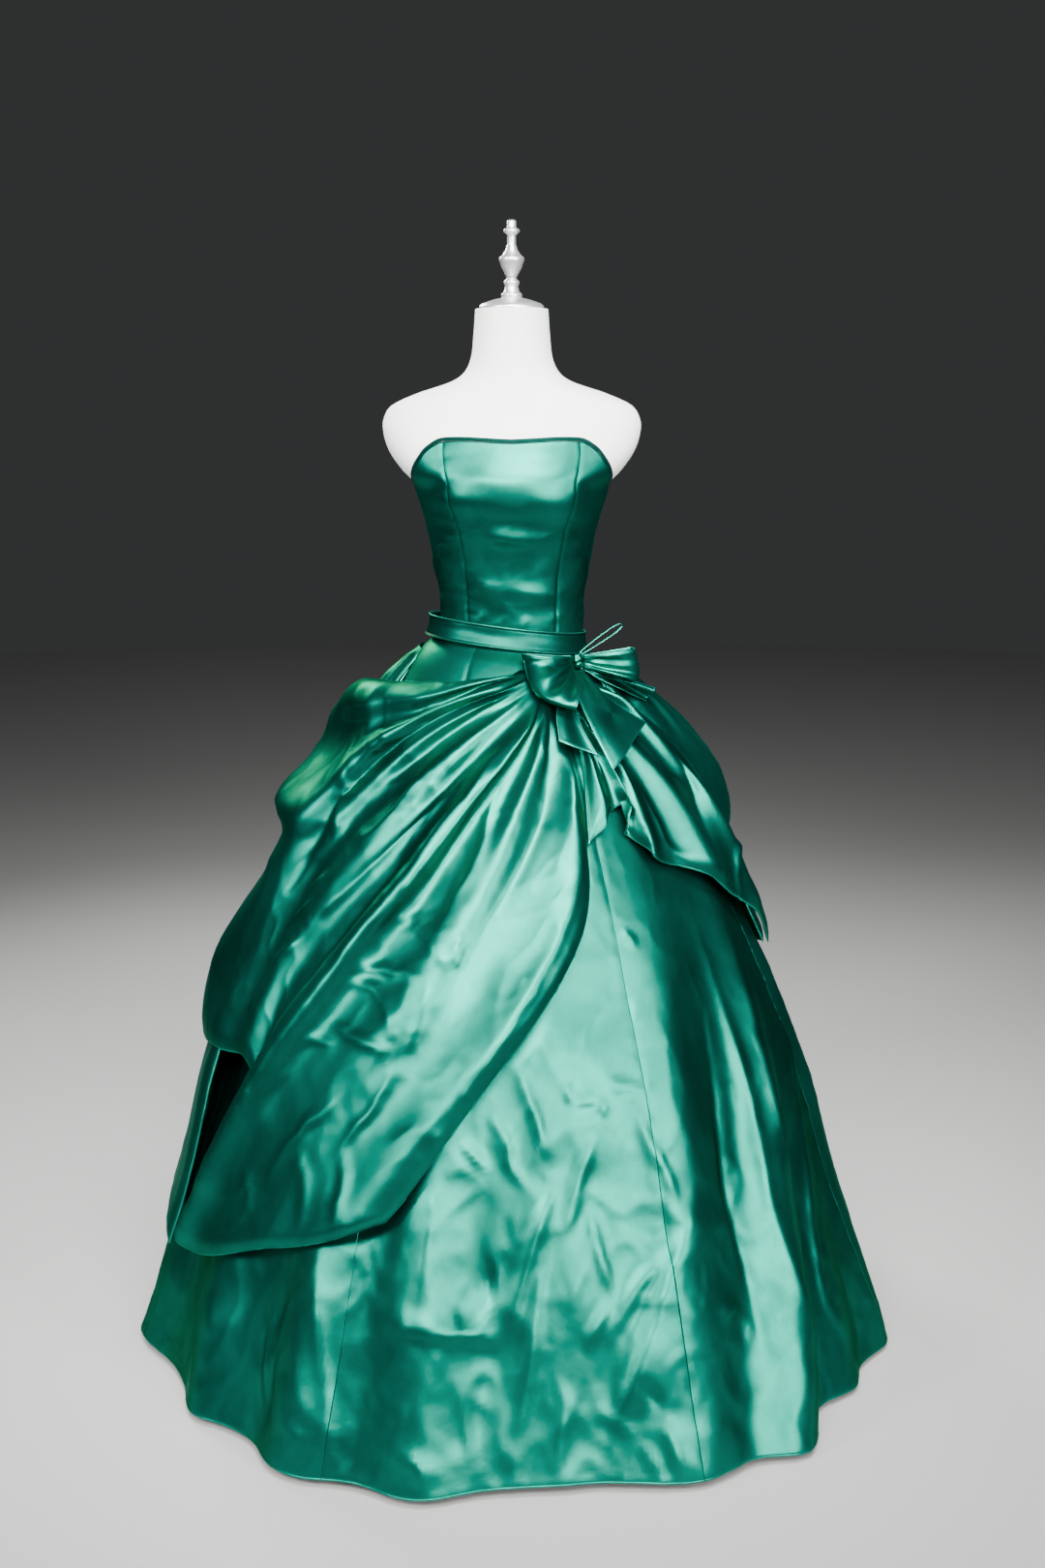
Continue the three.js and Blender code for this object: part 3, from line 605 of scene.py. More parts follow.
    def mesh_object(
        self, name: str, points: Array, faces: Array, flat: Array, hem: Array
    ) -> bpy.types.Object:
        """Makes the object from points in metres and quads.

        Args:
            name: Name of the piece.
            points: Points of both sides.
            faces: Quads, as four point numbers each.
            flat: Place of each point of one side on the flat cloth, in metres.
            hem: Nearness to a hem for each point of one side, which the satin reads for its stitching and
                its painted hem highlight.

        Returns:
            The new object, smoothly shaded, with a UV map in metres.
        """
        mesh = bpy.data.meshes.new(name)
        mesh.vertices.add(len(points))
        mesh.vertices.foreach_set("co", points.ravel())
        mesh.loops.add(faces.size)
        mesh.loops.foreach_set("vertex_index", faces.ravel().astype(np.int32))
        mesh.polygons.add(len(faces))
        mesh.polygons.foreach_set("loop_start", np.arange(0, faces.size, 4, dtype=np.int32))
        mesh.polygons.foreach_set("use_smooth", np.ones(len(faces), dtype=bool))
        mesh.update(calc_edges=True)
        mesh.validate()
        index = np.empty(len(mesh.loops), dtype=np.int32)
        mesh.loops.foreach_get("vertex_index", index)
        layer = mesh.uv_layers.new(name="cloth")
        layer.data.foreach_set("uv", np.tile(flat.reshape(-1, 2), (2, 1))[index].ravel())
        mesh.attributes.new("hem", "FLOAT", "POINT").data.foreach_set("value", np.tile(hem.ravel(), 2))
        return placed(name, mesh)


# The figure and the garment


@dataclass
class Figure:
    """The body of the dress form.

    Args:
        sections: Rows of height, half width, front depth and back depth.
        bust_angle: Angle of each bust point from the middle.
        bust_wide: Half width of a bust, in degrees.
        bust_height: Height of the bust points.
        bust_tall: Half height of a bust.
        bust_rise: How far it stands out.
    """

    sections: tuple = (
        (866, 144, 90, 106), (890, 154, 97, 114), (960, 152, 100, 116), (1020, 128, 93, 98),
        (1060, 110, 83, 80), (1090, 105, 80, 73), (1120, 104, 80, 71.5), (1150, 104.5, 82, 72.5),
        (1178, 107, 86, 76), (1222, 116, 93, 83), (1259, 123, 103, 88), (1286, 130, 112, 91),
        (1308, 137, 116.5, 93), (1328, 144.5, 116, 95), (1348, 164, 111, 97), (1377, 184, 99, 98),
        (1407, 193, 87, 97), (1427, 191, 79, 93), (1445, 178, 73, 86), (1462, 140, 68, 79),
        (1478, 92, 63, 72), (1491, 72, 60, 67), (1513, 61, 58, 62), (1550, 56.5, 56, 58),
        (1584, 54, 54, 54),
    )
    bust_angle: float = 31
    bust_wide: float = 17
    bust_height: float = 1310
    bust_tall: float = 34
    bust_rise: float = 7

    def point(self, angle: Number, z: Number) -> Array:
        """A point of the form's surface.

        Args:
            angle: Degrees round the figure.
            z: Height.

        Returns:
            The point, in millimetres.
        """
        cups = sum(bump((turned(angle) - side * self.bust_angle) / self.bust_wide) for side in (1, -1))
        bust = self.bust_rise * cups * bump((z - self.bust_height) / self.bust_tall)
        return around(section_at(self.sections, z), angle, z, bust)

    def off(self, angle: Number, z: Number, out: Number) -> Array:
        """A point that stands off the form, square to its surface.

        Args:
            angle: Degrees round the figure.
            z: Height.
            out: How far it stands off.

        Returns:
            The point, in millimetres.
        """
        sideways = self.point(angle + 0.5, z) - self.point(angle - 0.5, z)
        up = self.point(angle, z + 2) - self.point(angle, z - 2)
        return self.point(angle, z) + unit(np.cross(sideways, up)) * np.asarray(out)[..., None]


NECKLINE = (
    (0, 1388), (31, 1391), (41, 1379), (50, 1362), (66, 1338), (78, 1326), (92, 1318), (135, 1296),
    (180, 1286),
)
PRINCESS = ((1104, 38), (1180, 37.5), (1250, 37), (1311, 39.5), (1340, 36), (1390, 31.5))


def neckline_at(angle: Number) -> Number:
    """Height of the top edge of the bodice."""
    return column_at(NECKLINE, 1, np.abs(turned(angle)))


# Creases read off the cloth itself: rise, half widths, and the line as angles and heights
BODICE_CREASES = strokes(
    (2, 10, 10, ((-30, 1343), (0.7, 1337), (32.2, 1340))),
    (-1.8, 9, 8, ((-41.3, 1289), (-17.4, 1283), (0.8, 1279), (35.8, 1287))),
    (2.4, 7, 5, ((-20.2, 1263), (-5.5, 1255), (10.5, 1248), (32, 1248))),
    (1.8, 5, 5, ((10.5, 1248), (12.4, 1219), (13.8, 1190))),
    (2, 6, 5, ((-23, 1195), (-6.6, 1154), (11.4, 1125))),
    (1.7, 5, 5, ((0.9, 1176), (17.2, 1171), (36.4, 1167))),
    (1.4, 4, 4, ((-18.1, 1146), (-26.3, 1131), (-32.5, 1113))),
    (1.4, 4, 4, ((0.9, 1141), (-8.1, 1129), (-13.5, 1112))),
    (1.4, 4, 4, ((16, 1138), (9.1, 1125), (5.4, 1111))),
    (2, 5, 5, ((-87.2, 1226), (-81.6, 1198), (-75.5, 1166))),
    (1.3, 4, 4, ((-38.5, 1345), (-37.1, 1324))),
    (1.3, 4, 4, ((34.2, 1332), (40, 1310))),
)

SKIRT_CREASES = strokes(
    (3, 4, 4, ((18, 520), (22.1, 515), (26.9, 506))),
    (3, 4, 4, ((11.7, 520), (10.8, 497))),
    (3, 4, 4, ((10.8, 497), (14.4, 500), (17.7, 501))),
    (3, 4, 4, ((17.7, 501), (17.3, 476))),
    (5, 7, 5, ((21.8, 508), (27.3, 400), (28.6, 344))),
    (6, 8, 7, ((16.1, 459), (12.3, 403), (8.6, 314))),
    (5, 6, 6, ((0.7, 558), (4.6, 483), (7.6, 406))),
    (4, 5, 5, ((-5, 494), (-0.8, 453), (0, 419), (5.9, 366))),
    (4, 5, 5, ((-10.4, 463), (-6.5, 434), (-3, 407))),
    (8, 9, 8, ((7.5, 395), (5.1, 350), (1.3, 259), (-0.6, 189))),
    (6, 8, 8, ((6.5, 360), (4, 247), (2.6, 146), (-0.6, 28))),
    (5, 6, 6, ((12.9, 386), (15, 297), (17.3, 238))),
    (4, 5, 5, ((16.6, 245), (13.7, 213), (11.2, 178))),
    (6, 8, 6, ((25.8, 296), (20.5, 257), (13.8, 173))),
    (11, 8, 24, ((33.7, 395), (30.1, 336), (24.3, 251), (19, 149), (16.3, 96), (13.2, 20))),
    (4, 4, 4, ((27.5, 715), (29.2, 702), (31.2, 688))),
    (8, 16, 6, ((-0.6, 189), (-5.2, 204), (-10.8, 215), (-18.6, 224))),
    (6, 12, 6, ((38.4, 201), (32.2, 204))),
    (-5, 4, 4, ((-3.5, 304), (-3.4, 267), (-3.4, 236))),
    (4, 5, 5, ((-13.4, 77), (-12, 47), (-10.7, 17))),
    (5, 6, 6, ((64.3, 737), (55.4, 473), (55.4, 276), (50.1, 163), (47.1, 58))),
    (5, 6, 6, ((82.6, 602), (69, 370), (62.2, 220), (61.3, 108), (71.2, 28))),
    (6, 9, 8, ((52.5, 763), (51.9, 610), (50.7, 483), (47.8, 298), (48.1, 170), (46.6, -13))),
    (-6, 7, 7, ((46, 618), (43.2, 497), (40.4, 346), (41.2, 222), (39.5, 73))),
    (-4, 5, 5, ((19, 149), (20.5, 126), (22, 104))),
    (5, 7, 7, ((-42.9, 259), (-40.3, 136), (-38, 53))),
    (5, 7, 7, ((-32.2, 283), (-28.6, 166), (-25, 26))),
    (5, 7, 7, ((-12.5, 431), (-13.4, 321), (-14, 229))),
    (4, 6, 6, ((-7.9, 182), (-6.2, 100), (-4.7, 24))),
    (5, 7, 7, ((8.4, 146), (7.4, 75), (6.6, 26))),
    (5, 6, 6, ((22, 105), (22.8, 55), (23.6, 7))),
)

RIGHT_HAND_DRAPE_CREASES = strokes(
    (4, 8, 9, ((5, 1063), (-13.7, 1053), (-28.2, 1045), (-40.8, 1045), (-65.8, 1028))),
    (-4, 6, 8, ((7.1, 1058), (-9.9, 1046), (-24.2, 1031), (-37.7, 1015), (-49.8, 988), (-65.7, 960))),
    (8, 12, 9, ((8, 1055), (-6, 1041), (-21, 1019), (-32, 1001), (-40, 981), (-51.2, 962), (-59, 935),
        (-61.4, 903), (-60.5, 873), (-57.5, 840), (-57.7, 814), (-66.3, 768), (-70.3, 691),
        (-71.8, 593))),
    (-5, 7, 7, ((9.4, 1047), (-4.1, 1025), (-15.5, 1002), (-26.1, 975), (-38.4, 929), (-46.2, 904))),
    (6, 9, 8, ((11.5, 1033), (-10.7, 983), (-23.9, 944), (-30.6, 913), (-39.3, 875))),
    (5, 6, 6, ((-12.9, 957), (-18.4, 955), (-25.5, 928), (-32.1, 899), (-36.9, 865), (-42.7, 835),
        (-53.8, 825))),
    (8, 10, 10, ((-12.7, 954), (-15.6, 920), (-20.7, 887), (-30.1, 846), (-42.9, 766), (-50.3, 712),
        (-52.9, 624))),
    (-5, 8, 8, ((-24.4, 826), (-29.2, 803), (-39.5, 720), (-46.2, 638), (-51.2, 557))),
    (9, 14, 8, ((13.9, 1024), (0.2, 973), (-7.7, 938), (-11.3, 905), (-19.4, 853), (-25.7, 780),
        (-34.1, 708), (-40.3, 628), (-50.6, 496), (-54, 383))),
    (-5, 7, 8, ((15.2, 1019), (3.8, 971), (-3, 930), (-8.6, 899), (-15.8, 833), (-21.7, 759),
        (-29.3, 680))),
    (6, 8, 8, ((7.4, 971), (-5.5, 895), (-7.6, 835), (-12.8, 769), (-19.4, 681))),
    (5, 6, 6, ((17.6, 1012), (11.2, 975), (10.9, 943), (6, 876))),
    (-6, 9, 9, ((13.1, 954), (10.8, 889), (5.6, 836), (-5.8, 734), (-16.7, 609))),
    (6, 8, 6, ((22.9, 957), (18.8, 887), (17.1, 807))),
    (5, 9, 6, ((24.3, 940), (18.6, 829), (13.1, 745), (3.2, 650), (-3.9, 571), (-14, 476), (-19.6, 404))),
    (4, 5, 5, ((-26.7, 750), (-18.1, 712), (-11.5, 673))),
    (4, 5, 5, ((-11.1, 722), (-11.5, 696), (-11.5, 673))),
    (4, 5, 5, ((-36.3, 666), (-25.4, 667), (-16.4, 668))),
    (5, 6, 5, ((-37, 650), (-26.3, 632), (-19.9, 564))),
    (4, 5, 5, ((-39, 589), (-28.9, 576), (-19.9, 564))),
    (3, 4, 4, ((-43.7, 563), (-38.4, 562), (-34.4, 562))),
    (4, 5, 5, ((-16.4, 668), (-17.8, 608), (-19.9, 564))),
    (5, 7, 6, ((-19.9, 564), (-24.7, 491), (-32, 406))),
    (5, 7, 6, ((-29.3, 523), (-39.1, 431), (-45, 353))),
    (4, 5, 5, ((-53.2, 778), (-55.8, 755), (-62, 733))),
    (4, 5, 5, ((-52.1, 739), (-57.5, 712), (-61.8, 685))),
    (4, 5, 5, ((-51.8, 693), (-56.4, 659), (-61.5, 629))),
    (4, 6, 6, ((-50.8, 378), (-47.2, 334), (-47.7, 291))),
    (4, 6, 6, ((-39.1, 431), (-35.1, 375), (-35, 305))),
    (4, 6, 6, ((-29.2, 448), (-27.5, 388), (-28.1, 319))),
)

LEFT_HAND_DRAPE_CREASES = strokes(
    (5, 6, 6, ((35.5, 920), (38.4, 889), (39.3, 848), (39.4, 818))),
    (7, 7, 6, ((39.8, 945), (43.6, 898), (46.2, 854), (47.9, 814), (56.8, 774))),
    (5, 7, 7, ((53, 975), (57, 928), (60.7, 888), (63.1, 836))),
    (6, 5, 6, ((63.5, 1040), (86.3, 976), (91.1, 896), (83.3, 829), (71.6, 777), (69, 709), (68.9, 637))),
    (-5, 6, 6, ((56.8, 1026), (64.6, 964), (66.5, 903), (64.8, 834), (61.2, 762), (63.3, 682))),
    (5, 6, 6, ((33, 962), (31.2, 912), (30.2, 861))),
)


@dataclass(frozen=True)
class Seam:
    """A seam of the bodice: an angle, and on which side of it the princess line runs, if it does."""

    angle: float
    princess: int = 0

    def at(self, z: Number) -> Number:
        """Its angle at a height."""
        return self.angle + self.princess * column_at(PRINCESS, 1, z)


@dataclass
class Bodice:
    """The boned bodice: seven panels, shaped by the form below, with soft drag folds.

    Args:
        figure: The form that it is worn on.
        crumple: Noise for its crumples.
        seams: Its seams, round the figure.
        panels: Names of its panels, and their steps across.
        rows: Steps down a panel.
        folds: Rows of height, slope, rise, half height, angle and half width of the drag folds.
        groove: Depth and half width of the groove at a seam.
        pucker: Its puckers, which fade away from a seam.
        soft: Its soft waves.
        creasing: Its ridges, which fade out upwards.
        creased: Heights at which those ridges begin and are full.
        deepest: The least rise of a point, so that it stays off the form.
        binding_size: Foot, width, stand-off, crown and base of the binding.
    """

    figure: Figure
    crumple: Crumple
    seams: tuple = (
        Seam(0, -1), Seam(0, 1), Seam(92), Seam(137), Seam(180), Seam(223), Seam(268), Seam(360, -1),
    )
    panels: tuple = (
        ("bodice_front", 72),
        ("bodice_side_front_left", 56),
        ("bodice_side_back_left", 34),
        ("bodice_back_left", 34),
        ("bodice_back_right", 34),
        ("bodice_side_back_right", 34),
        ("bodice_side_front_right", 56),
    )
    rows: int = 84
    folds: tuple = (
        (1256, -0.1, 3.2, 13, 6, 46),
        (1176, -0.35, 2.4, 13, -4, 26),
        (1200, 0.2, 2, 12, 160, 60),
        (1347, 0, 3, 24, 60, 24),
        (1347, 0, 3, 24, -60, 24),
    )
    groove: tuple = (0.9, 2.6)
    pucker: Ripple = Ripple(0.45, 16, 0.5)
    soft: Ripple = Ripple(0.9, 52, 0.55)
    creasing: Ripple = Ripple(1.5, 60, 0.5, 3)
    creased: tuple = (1330, 1250)
    deepest: float = -1.6
    binding_size: tuple = (0.6, 5.5, 3.4, 0.9, 0.5)

    def surface(self, angle: Number, z: Number) -> Array:
        """The smooth face of the bodice.

        Args:
            angle: Degrees round the figure.
            z: Height.

        Returns:
            The point of the face.
        """
        out = FORM_GAP + BODICE_WALL
        for height, slope, rise, half, at, wide in self.folds:
            aside = turned(angle - at)
            out = out + rise * bump((z - height - slope * aside) / half) * bump(aside / wide)
        return self.figure.off(angle, z, out)

    def height(self, angle: Number, v: Number) -> Number:
        """Height at a share of the way from the neckline to the waist seam."""
        return mix(neckline_at(angle), waist_at(angle) + SEAM_GAP / 2, v)

    def seam_angle(self, seam: Seam, v: Array) -> Array:
        """Angle of a seam at shares of the way down it.

        Args:
            seam: The seam.
            v: The shares.

        Returns:
            The angles, which settle in a few rounds because both ends of a seam slope.
        """
        angle = seam.at(np.full(v.shape, WAIST))
        for _ in range(6):
            angle = seam.at(self.height(angle, v))
        return angle

    def panel(self, name: str, first: Seam, last: Seam, columns: int) -> Cloth:
        """One panel between two seams.

        Args:
            name: Name of the panel.
            first: Its first seam.
            last: Its other seam.
            columns: Steps across.

        Returns:
            The panel's cloth.
        """
        half_gap = math.degrees(SEAM_GAP / 2 / WAIST_RADIUS)
        u, v = shares(columns, self.rows, 0.006)
        angle = mix(self.seam_angle(first, v) + half_gap, self.seam_angle(last, v) - half_gap, u)
        z = self.height(angle, v)
        smooth = self.surface(angle, z)
        normal = outward(smooth, smooth * LEVEL)
        aside = from_sides(smooth, u)
        noise = self.crumple
        rise = noise.layers(smooth, self.soft) - self.groove[0] * bump(aside / self.groove[1])
        rise = rise + noise.layers(smooth, self.pucker) * bump(aside / self.pucker.size)
        rise = rise + noise.layers(smooth, self.creasing) * ramp(*self.creased, z)
        rise = rise + drawn(BODICE_CREASES, smooth, normal, self.surface, 2.0)
        face = smooth + normal * np.maximum(rise, self.deepest)[..., None]
        return Cloth(name, smooth, face, smooth * LEVEL, BODICE_WALL, Held.STRETCHED, ("dress_form",))

    def pieces(self) -> list:
        """All seven panels."""
        pairs = zip(self.panels, self.seams, self.seams[1:])
        return [self.panel(name, first, last, columns) for (name, columns), first, last in pairs]

    def binding(self) -> Cloth:
        """The dark rolled binding of the top edge.

        Returns:
            The binding's cloth.
        """
        foot, width, stand, crown, base = self.binding_size
        u, v = np.meshgrid(np.arange(360) / 360, np.linspace(0, 1, 9))
        angle = u * 360
        z = neckline_at(angle) + foot + width * (1 - v)
        level = FORM_GAP + stand + 0 * z
        smooth = self.figure.off(angle, z, level)
        rise = crown * np.sin(np.pi * v) - base + self.crumple.layers(smooth, Ripple(0.12, 7))
        face = self.figure.off(angle, z, level + rise)
        way = smooth * LEVEL
        return Cloth(
            "neckline_binding", smooth, face, way, BINDING_WALL, Held.FOLDED, ("bodice_front",), ring=True
        )


@dataclass
class Skirt:
    """The full skirt of seven gores, with flutes that grow towards the hem.

    Args:
        crumple: Noise for its crumples.
        sections: Rows of height, half width, front depth and back depth, without flutes.
        flutes: Rows of angle at the waist's height, turn on the way down, rise and half width.
        cover_edge: Lower edge of what is draped over it, as angles and heights.
        seams: Angles of its seams.
        names: Names of its gores.
        seen: The gores that the front drapes leave bare, which have finer steps.
        sink: How far the hollows between flutes lie inside the sections.
        crest: Level from which the flutes carry the cloth above.
        flute_span: Heights at which flutes begin and are full, above and then near the hem.
        flute_share: How much of a flute has grown before it nears the hem.
        crumples: Layers of its crumpling.
        pucker: Its puckers, which fade away from a seam.
        pucker_reach: How far from a seam they reach.
        belt_sections: The belt's section at its foot, middle and top.
        belt_width: Its width.
        belt_stand: How far it stands off, the angle where it does so most, and its half width.
        piping: Height and half width of its piped edges.
    """

    crumple: Crumple
    sections: tuple = (
        (0, 580, 612, 612), (142, 534, 560, 562), (271, 494, 512, 516), (357, 470, 482, 488),
        (459, 440, 448, 454), (570, 398, 404, 412), (680, 350, 354, 366), (790, 298, 298, 314),
        (890, 245, 240, 258), (970, 198, 190, 206), (1033, 160, 144, 156), (1068, 137, 113, 117),
        (1088, 115, 92, 86), (1104, 109.5, 86.5, 78.5),
    )
    flutes: tuple = (
        (-79, -12, 42, 8), (-53, -14, 26, 5.5), (-30, -10, 42, 7.5), (-13, -5, 44, 7.5), (26, 14, 46, 9),
        (42, 33, 66, 6.4), (61, 20, 26, 5.5), (77, 12, 46, 7), (98, 10, 44, 8), (119, 8, 50, 8),
        (141, 5, 46, 8), (163, 2, 52, 8), (-174, 0, 48, 8), (-151, -4, 50, 8), (-127, -7, 46, 8),
        (-103, -10, 44, 8),
    )
    cover_edge: tuple = (
        (-262, 600), (-220, 520), (-180, 420), (-140, 320), (-100, 240), (-72, 210), (-63, 231),
        (-41, 283), (-19.5, 354), (-4.7, 526), (17, 722), (22.5, 834), (31, 868), (37.5, 850), (42, 806),
        (57, 768), (74, 698), (91, 614), (98, 600),
    )
    seams: tuple = (-26, 26, 76, 129, 180, 231, 282, 334)
    names: tuple = (
        "skirt_front",
        "skirt_side_front_left",
        "skirt_side_back_left",
        "skirt_back_left",
        "skirt_back_right",
        "skirt_side_back_right",
        "skirt_side_front_right",
    )
    seen: tuple = ("skirt_front", "skirt_side_front_left", "skirt_side_front_right")
    sink: float = 22
    crest: float = 31
    flute_span: tuple = ((1010, 180), (330, HEM))
    flute_share: float = 0.72
    crumples: tuple = (
        Ripple(7.5, 150, 1.5),
        Ripple(5, 110, 1.5, 2.2),
        Ripple(3.4, 58, 1.5, 3.2, 400),
        Ripple(2.4, 62, 1.4),
        Ripple(1.2, 27, 1.4, 2.6, -300),
    )
    pucker: Ripple = Ripple(0.7, 20, 0.6)
    pucker_reach: float = 22
    belt_sections: tuple = ((-16, 119, 96.5, 90.5), (0, 113.5, 91, 83), (16, 112, 90, 81))
    belt_width: float = 32
    belt_stand: tuple = (14, -98, 62)
    piping: tuple = (1.3, 1.6)

    def growth(self, z: Number) -> Number:
        """How much of their full height the flutes have at a height."""
        high, low = self.flute_span
        return ramp(*high, z) * self.flute_share + ramp(*low, z) * (1 - self.flute_share)

    def out(self, angle: Number, z: Number) -> Number:
        """How far the fluted skirt stands outside its plain section.

        Args:
            angle: Degrees round the figure.
            z: Height.

        Returns:
            The distance, less than 0 in the hollows.
        """
        wave = 0
        for at, turn, rise, half in self.flutes:
            wave = wave + rise * bump(turned(angle - at - turn * z / WAIST) / half)
        return (wave - self.sink) * self.growth(z)

    def crest_out(self, angle: Number, z: Number) -> Number:
        """The level that the cloth above lies on, from crest to crest."""
        return soft_max(self.out(angle, z), self.crest * self.growth(z), 4)

    def section(self, angle: Number, z: Number) -> tuple:
        """The plain section, which follows the sloping seam near the waist."""
        slope = (waist_at(angle) - WAIST) * ramp(860, WAIST, z)
        return section_at(self.sections, z - slope)

    def point(self, angle: Number, z: Number, out: Optional[Number] = None) -> Array:
        """A point of the skirt, or one that stands out by a given amount."""
        out = self.out(angle, z) if out is None else out
        return around(self.section(angle, z), angle, z, out)

    def bare(self, angle: Number, z: Number) -> Number:
        """Where the skirt shows below what is draped over it.

        Args:
            angle: Degrees round the figure.
            z: Height.

        Returns:
            1 where it shows, and 0 under the cloth above.
        """
        places, heights = zip(*self.cover_edge)
        wrapped = np.where(turned(angle) > places[-1], turned(angle) - 360, turned(angle))
        return 1 - ramp(-50, 5, z - np.interp(wrapped, places, heights))

    def hem_at(self, angle: Number) -> Number:
        """Height of the hem, which rises and falls three times round."""
        return HEM + 7 * (1 + np.sin(np.radians(3 * angle) + 1)) / 2

    def gore(self, name: str, start: float, end: float) -> Cloth:
        """One gore between two seams.

        Args:
            name: Name of the gore.
            start: Angle of its first seam.
            end: Angle of its other seam.

        Returns:
            The gore's cloth.
        """
        seen = name in self.seen
        u, v = shares(92 if seen else 70, 180 if seen else 140, 0.0016)
        drop = v**1.3
        rough = mix(waist_at((start + end) / 2), HEM, drop)
        half_gap = np.degrees(0.75 * SEAM_GAP / section_at(self.sections, rough)[0])
        angle = mix(start + half_gap, end - half_gap, u)
        z = mix(waist_at(angle) - SEAM_GAP / 2, self.hem_at(angle), drop)
        smooth = self.point(angle, z)
        bare = self.bare(angle, z)
        aside = from_sides(smooth, u)
        noise = self.crumple
        front = 0.45 + 0.55 * bump(turned(angle - 5) / 75)
        strong = (0.4 + 0.6 * ramp(760, 250, z) * front) * (0.15 + 0.85 * bare)
        rise = strong * noise.layers(smooth, *self.crumples)
        rise = rise - 0.9 * bump(aside / 4) * ramp(1090, 1040, z)
        rise = rise + noise.layers(smooth, self.pucker) * bump(aside / self.pucker_reach) * bare
        normal = outward(smooth, smooth * LEVEL)
        if seen:
            rise = rise + drawn(SKIRT_CREASES, smooth, normal, self.point) * bare
        rise = np.where(bare > 0.5, rise, np.minimum(rise, 2.0)) * ramp(1095, 1060, z)
        face = smooth + normal * rise[..., None]
        way = smooth * LEVEL
        return Cloth(name, smooth, face, way, SKIRT_WALL, Held.GATHERED, ("dress_form",), hems=("last",))

    def pieces(self) -> list:
        """All seven gores."""
        return [self.gore(*row) for row in zip(self.names, self.seams, self.seams[1:])]

    def belt(self) -> Cloth:
        """The belt, which stands off at the side away from the bow, with a piped edge above and below.

        Returns:
            The belt's cloth.
        """
        ends = np.linspace(0, 0.16, 7)
        places = np.concatenate([ends, np.linspace(0.2, 0.8, 9), 0.84 + ends])
        u, v = np.meshgrid(np.arange(300) / 300, places)
        angle, up = u * 360, self.belt_width * (0.5 - v)
        stand, at, half = self.belt_stand
        section = section_at(self.belt_sections, up)
        smooth = around(section, angle, waist_at(angle) + up, stand * bump(turned(angle - at) / half))
        edge = np.minimum(v, 1 - v) * self.belt_width
        height, wide = self.piping
        piped = height * np.sqrt(np.clip(1 - np.square((edge - wide) / wide), 0, 1))
        sway = self.crumple.layers(smooth, Ripple(0.5, 34, 0.6)) * ramp(0, 9, edge)
        normal = unit(smooth * LEVEL)
        face = smooth + normal * (piped + sway - 0.25 * bump((edge - 4.2) / 1.1))[..., None]
        under, hems = ("bodice_front", "skirt_front"), ("first", "last")
        return Cloth("belt", smooth, face, normal, BELT_WALL, Held.FOLDED, under, True, hems, roll=0.0)


@dataclass(frozen=True)
class Pouf:
    """A puff of cloth that is caught up behind one hip.

    Args:
        name: Name of its node.
        side: 1 for the wearer's left, -1 for the right.
        start: Angle at which it starts.
        full: Angle at which it is full.
        low: Height of its lower edge.
        size: How full it is.
        covered: Angle up to which a front drape lies on it.
        profile: Places up from its lower edge, and how far it puffs out there.
    """

    name: str
    side: int
    start: float
    full: float
    low: float
    size: float
    covered: float
    profile: tuple = (
        (0, 0), (0.09, 24), (0.19, 44), (0.32, 58), (0.45, 63), (0.66, 56), (0.83, 34), (0.93, 16), (1, 0),
    )

    def low_edge(self, angle: Number) -> Number:
        """Height of its lower edge."""
        way = np.abs(turned(angle))
        return self.low - 60 * bump((way - 142) / 26) + 40 * bump((way - 180) / 14)

    def rise(self, angle: Number, z: Number) -> Number:
        """How far it puffs out.

        Args:
            angle: Degrees round the figure.
            z: Height.

        Returns:
            The distance from the panel below it.
        """
        way = np.abs(turned(angle))
        low = self.low_edge(angle)
        across = ramp(self.start, self.full, way) * (1 - 0.7 * bump((way - 180) / 13))
        up = (z - low) / (waist_at(angle) - POUF_DROP - low)
        return self.size * across * column_at(self.profile, 1, up)


@dataclass(frozen=True)
class Drape:
    """A fan of cloth from the bow to its far edge.

    Args:
        name: Name of its node.
        places: Places of its guide lines across the cloth.
        angles: Angles at six stations along each guide line.
        heights: Heights there.
        folds: Rows of place across at the start and at the end, places along where a fold grows and
            fades, rise, and half width on each side.
        swells: Broad swells, as rows for swell_rise.
        creases: Strokes drawn on it.
        steps: Steps across and along.
        pouf: Which puff it lies over.
        onto: Angles between which it rises on to that puff.
        full: Place along it where its soft fullness is complete.
        crumpled: Least strength of its crumples, what they gain, and the places along between which.
        rests_on: The node it lies on.
        laid: How far its far side is pressed down at the end.
    """

    name: str
    places: tuple
    angles: tuple
    heights: tuple
    folds: tuple
    swells: tuple
    creases: tuple
    steps: tuple
    pouf: int
    onto: tuple
    full: float
    crumpled: tuple
    rests_on: str
    laid: float = 0.0

    def guided(self, rows: tuple, s: Array, t: Array) -> Array:
        """A value of the guide lines at a place across (s) and along (t) the cloth."""
        lines = [curve(np.linspace(0, 1, len(row)), row, t) for row in rows]
        return curve(self.places, np.stack(lines), s)

    def fold_rise(self, s: Array, t: Array) -> Array:
        """Rise of the folds that run along the cloth.

        Args:
            s: Place across.
            t: Place along.

        Returns:
            The rise at each point.
        """
        rise = np.zeros(np.shape(s))
        for first, last, start, stop, height, before, after in self.folds:
            at = mix(first, last, t)
            half = np.where(s < at, before, after) * mix(0.8, 1.15, t)
            grow = ramp(start, start + 0.14, t) * (1 - ramp(stop - 0.2, stop, t))
            rise = rise + height * grow * bump((s - at) / half)
        return rise


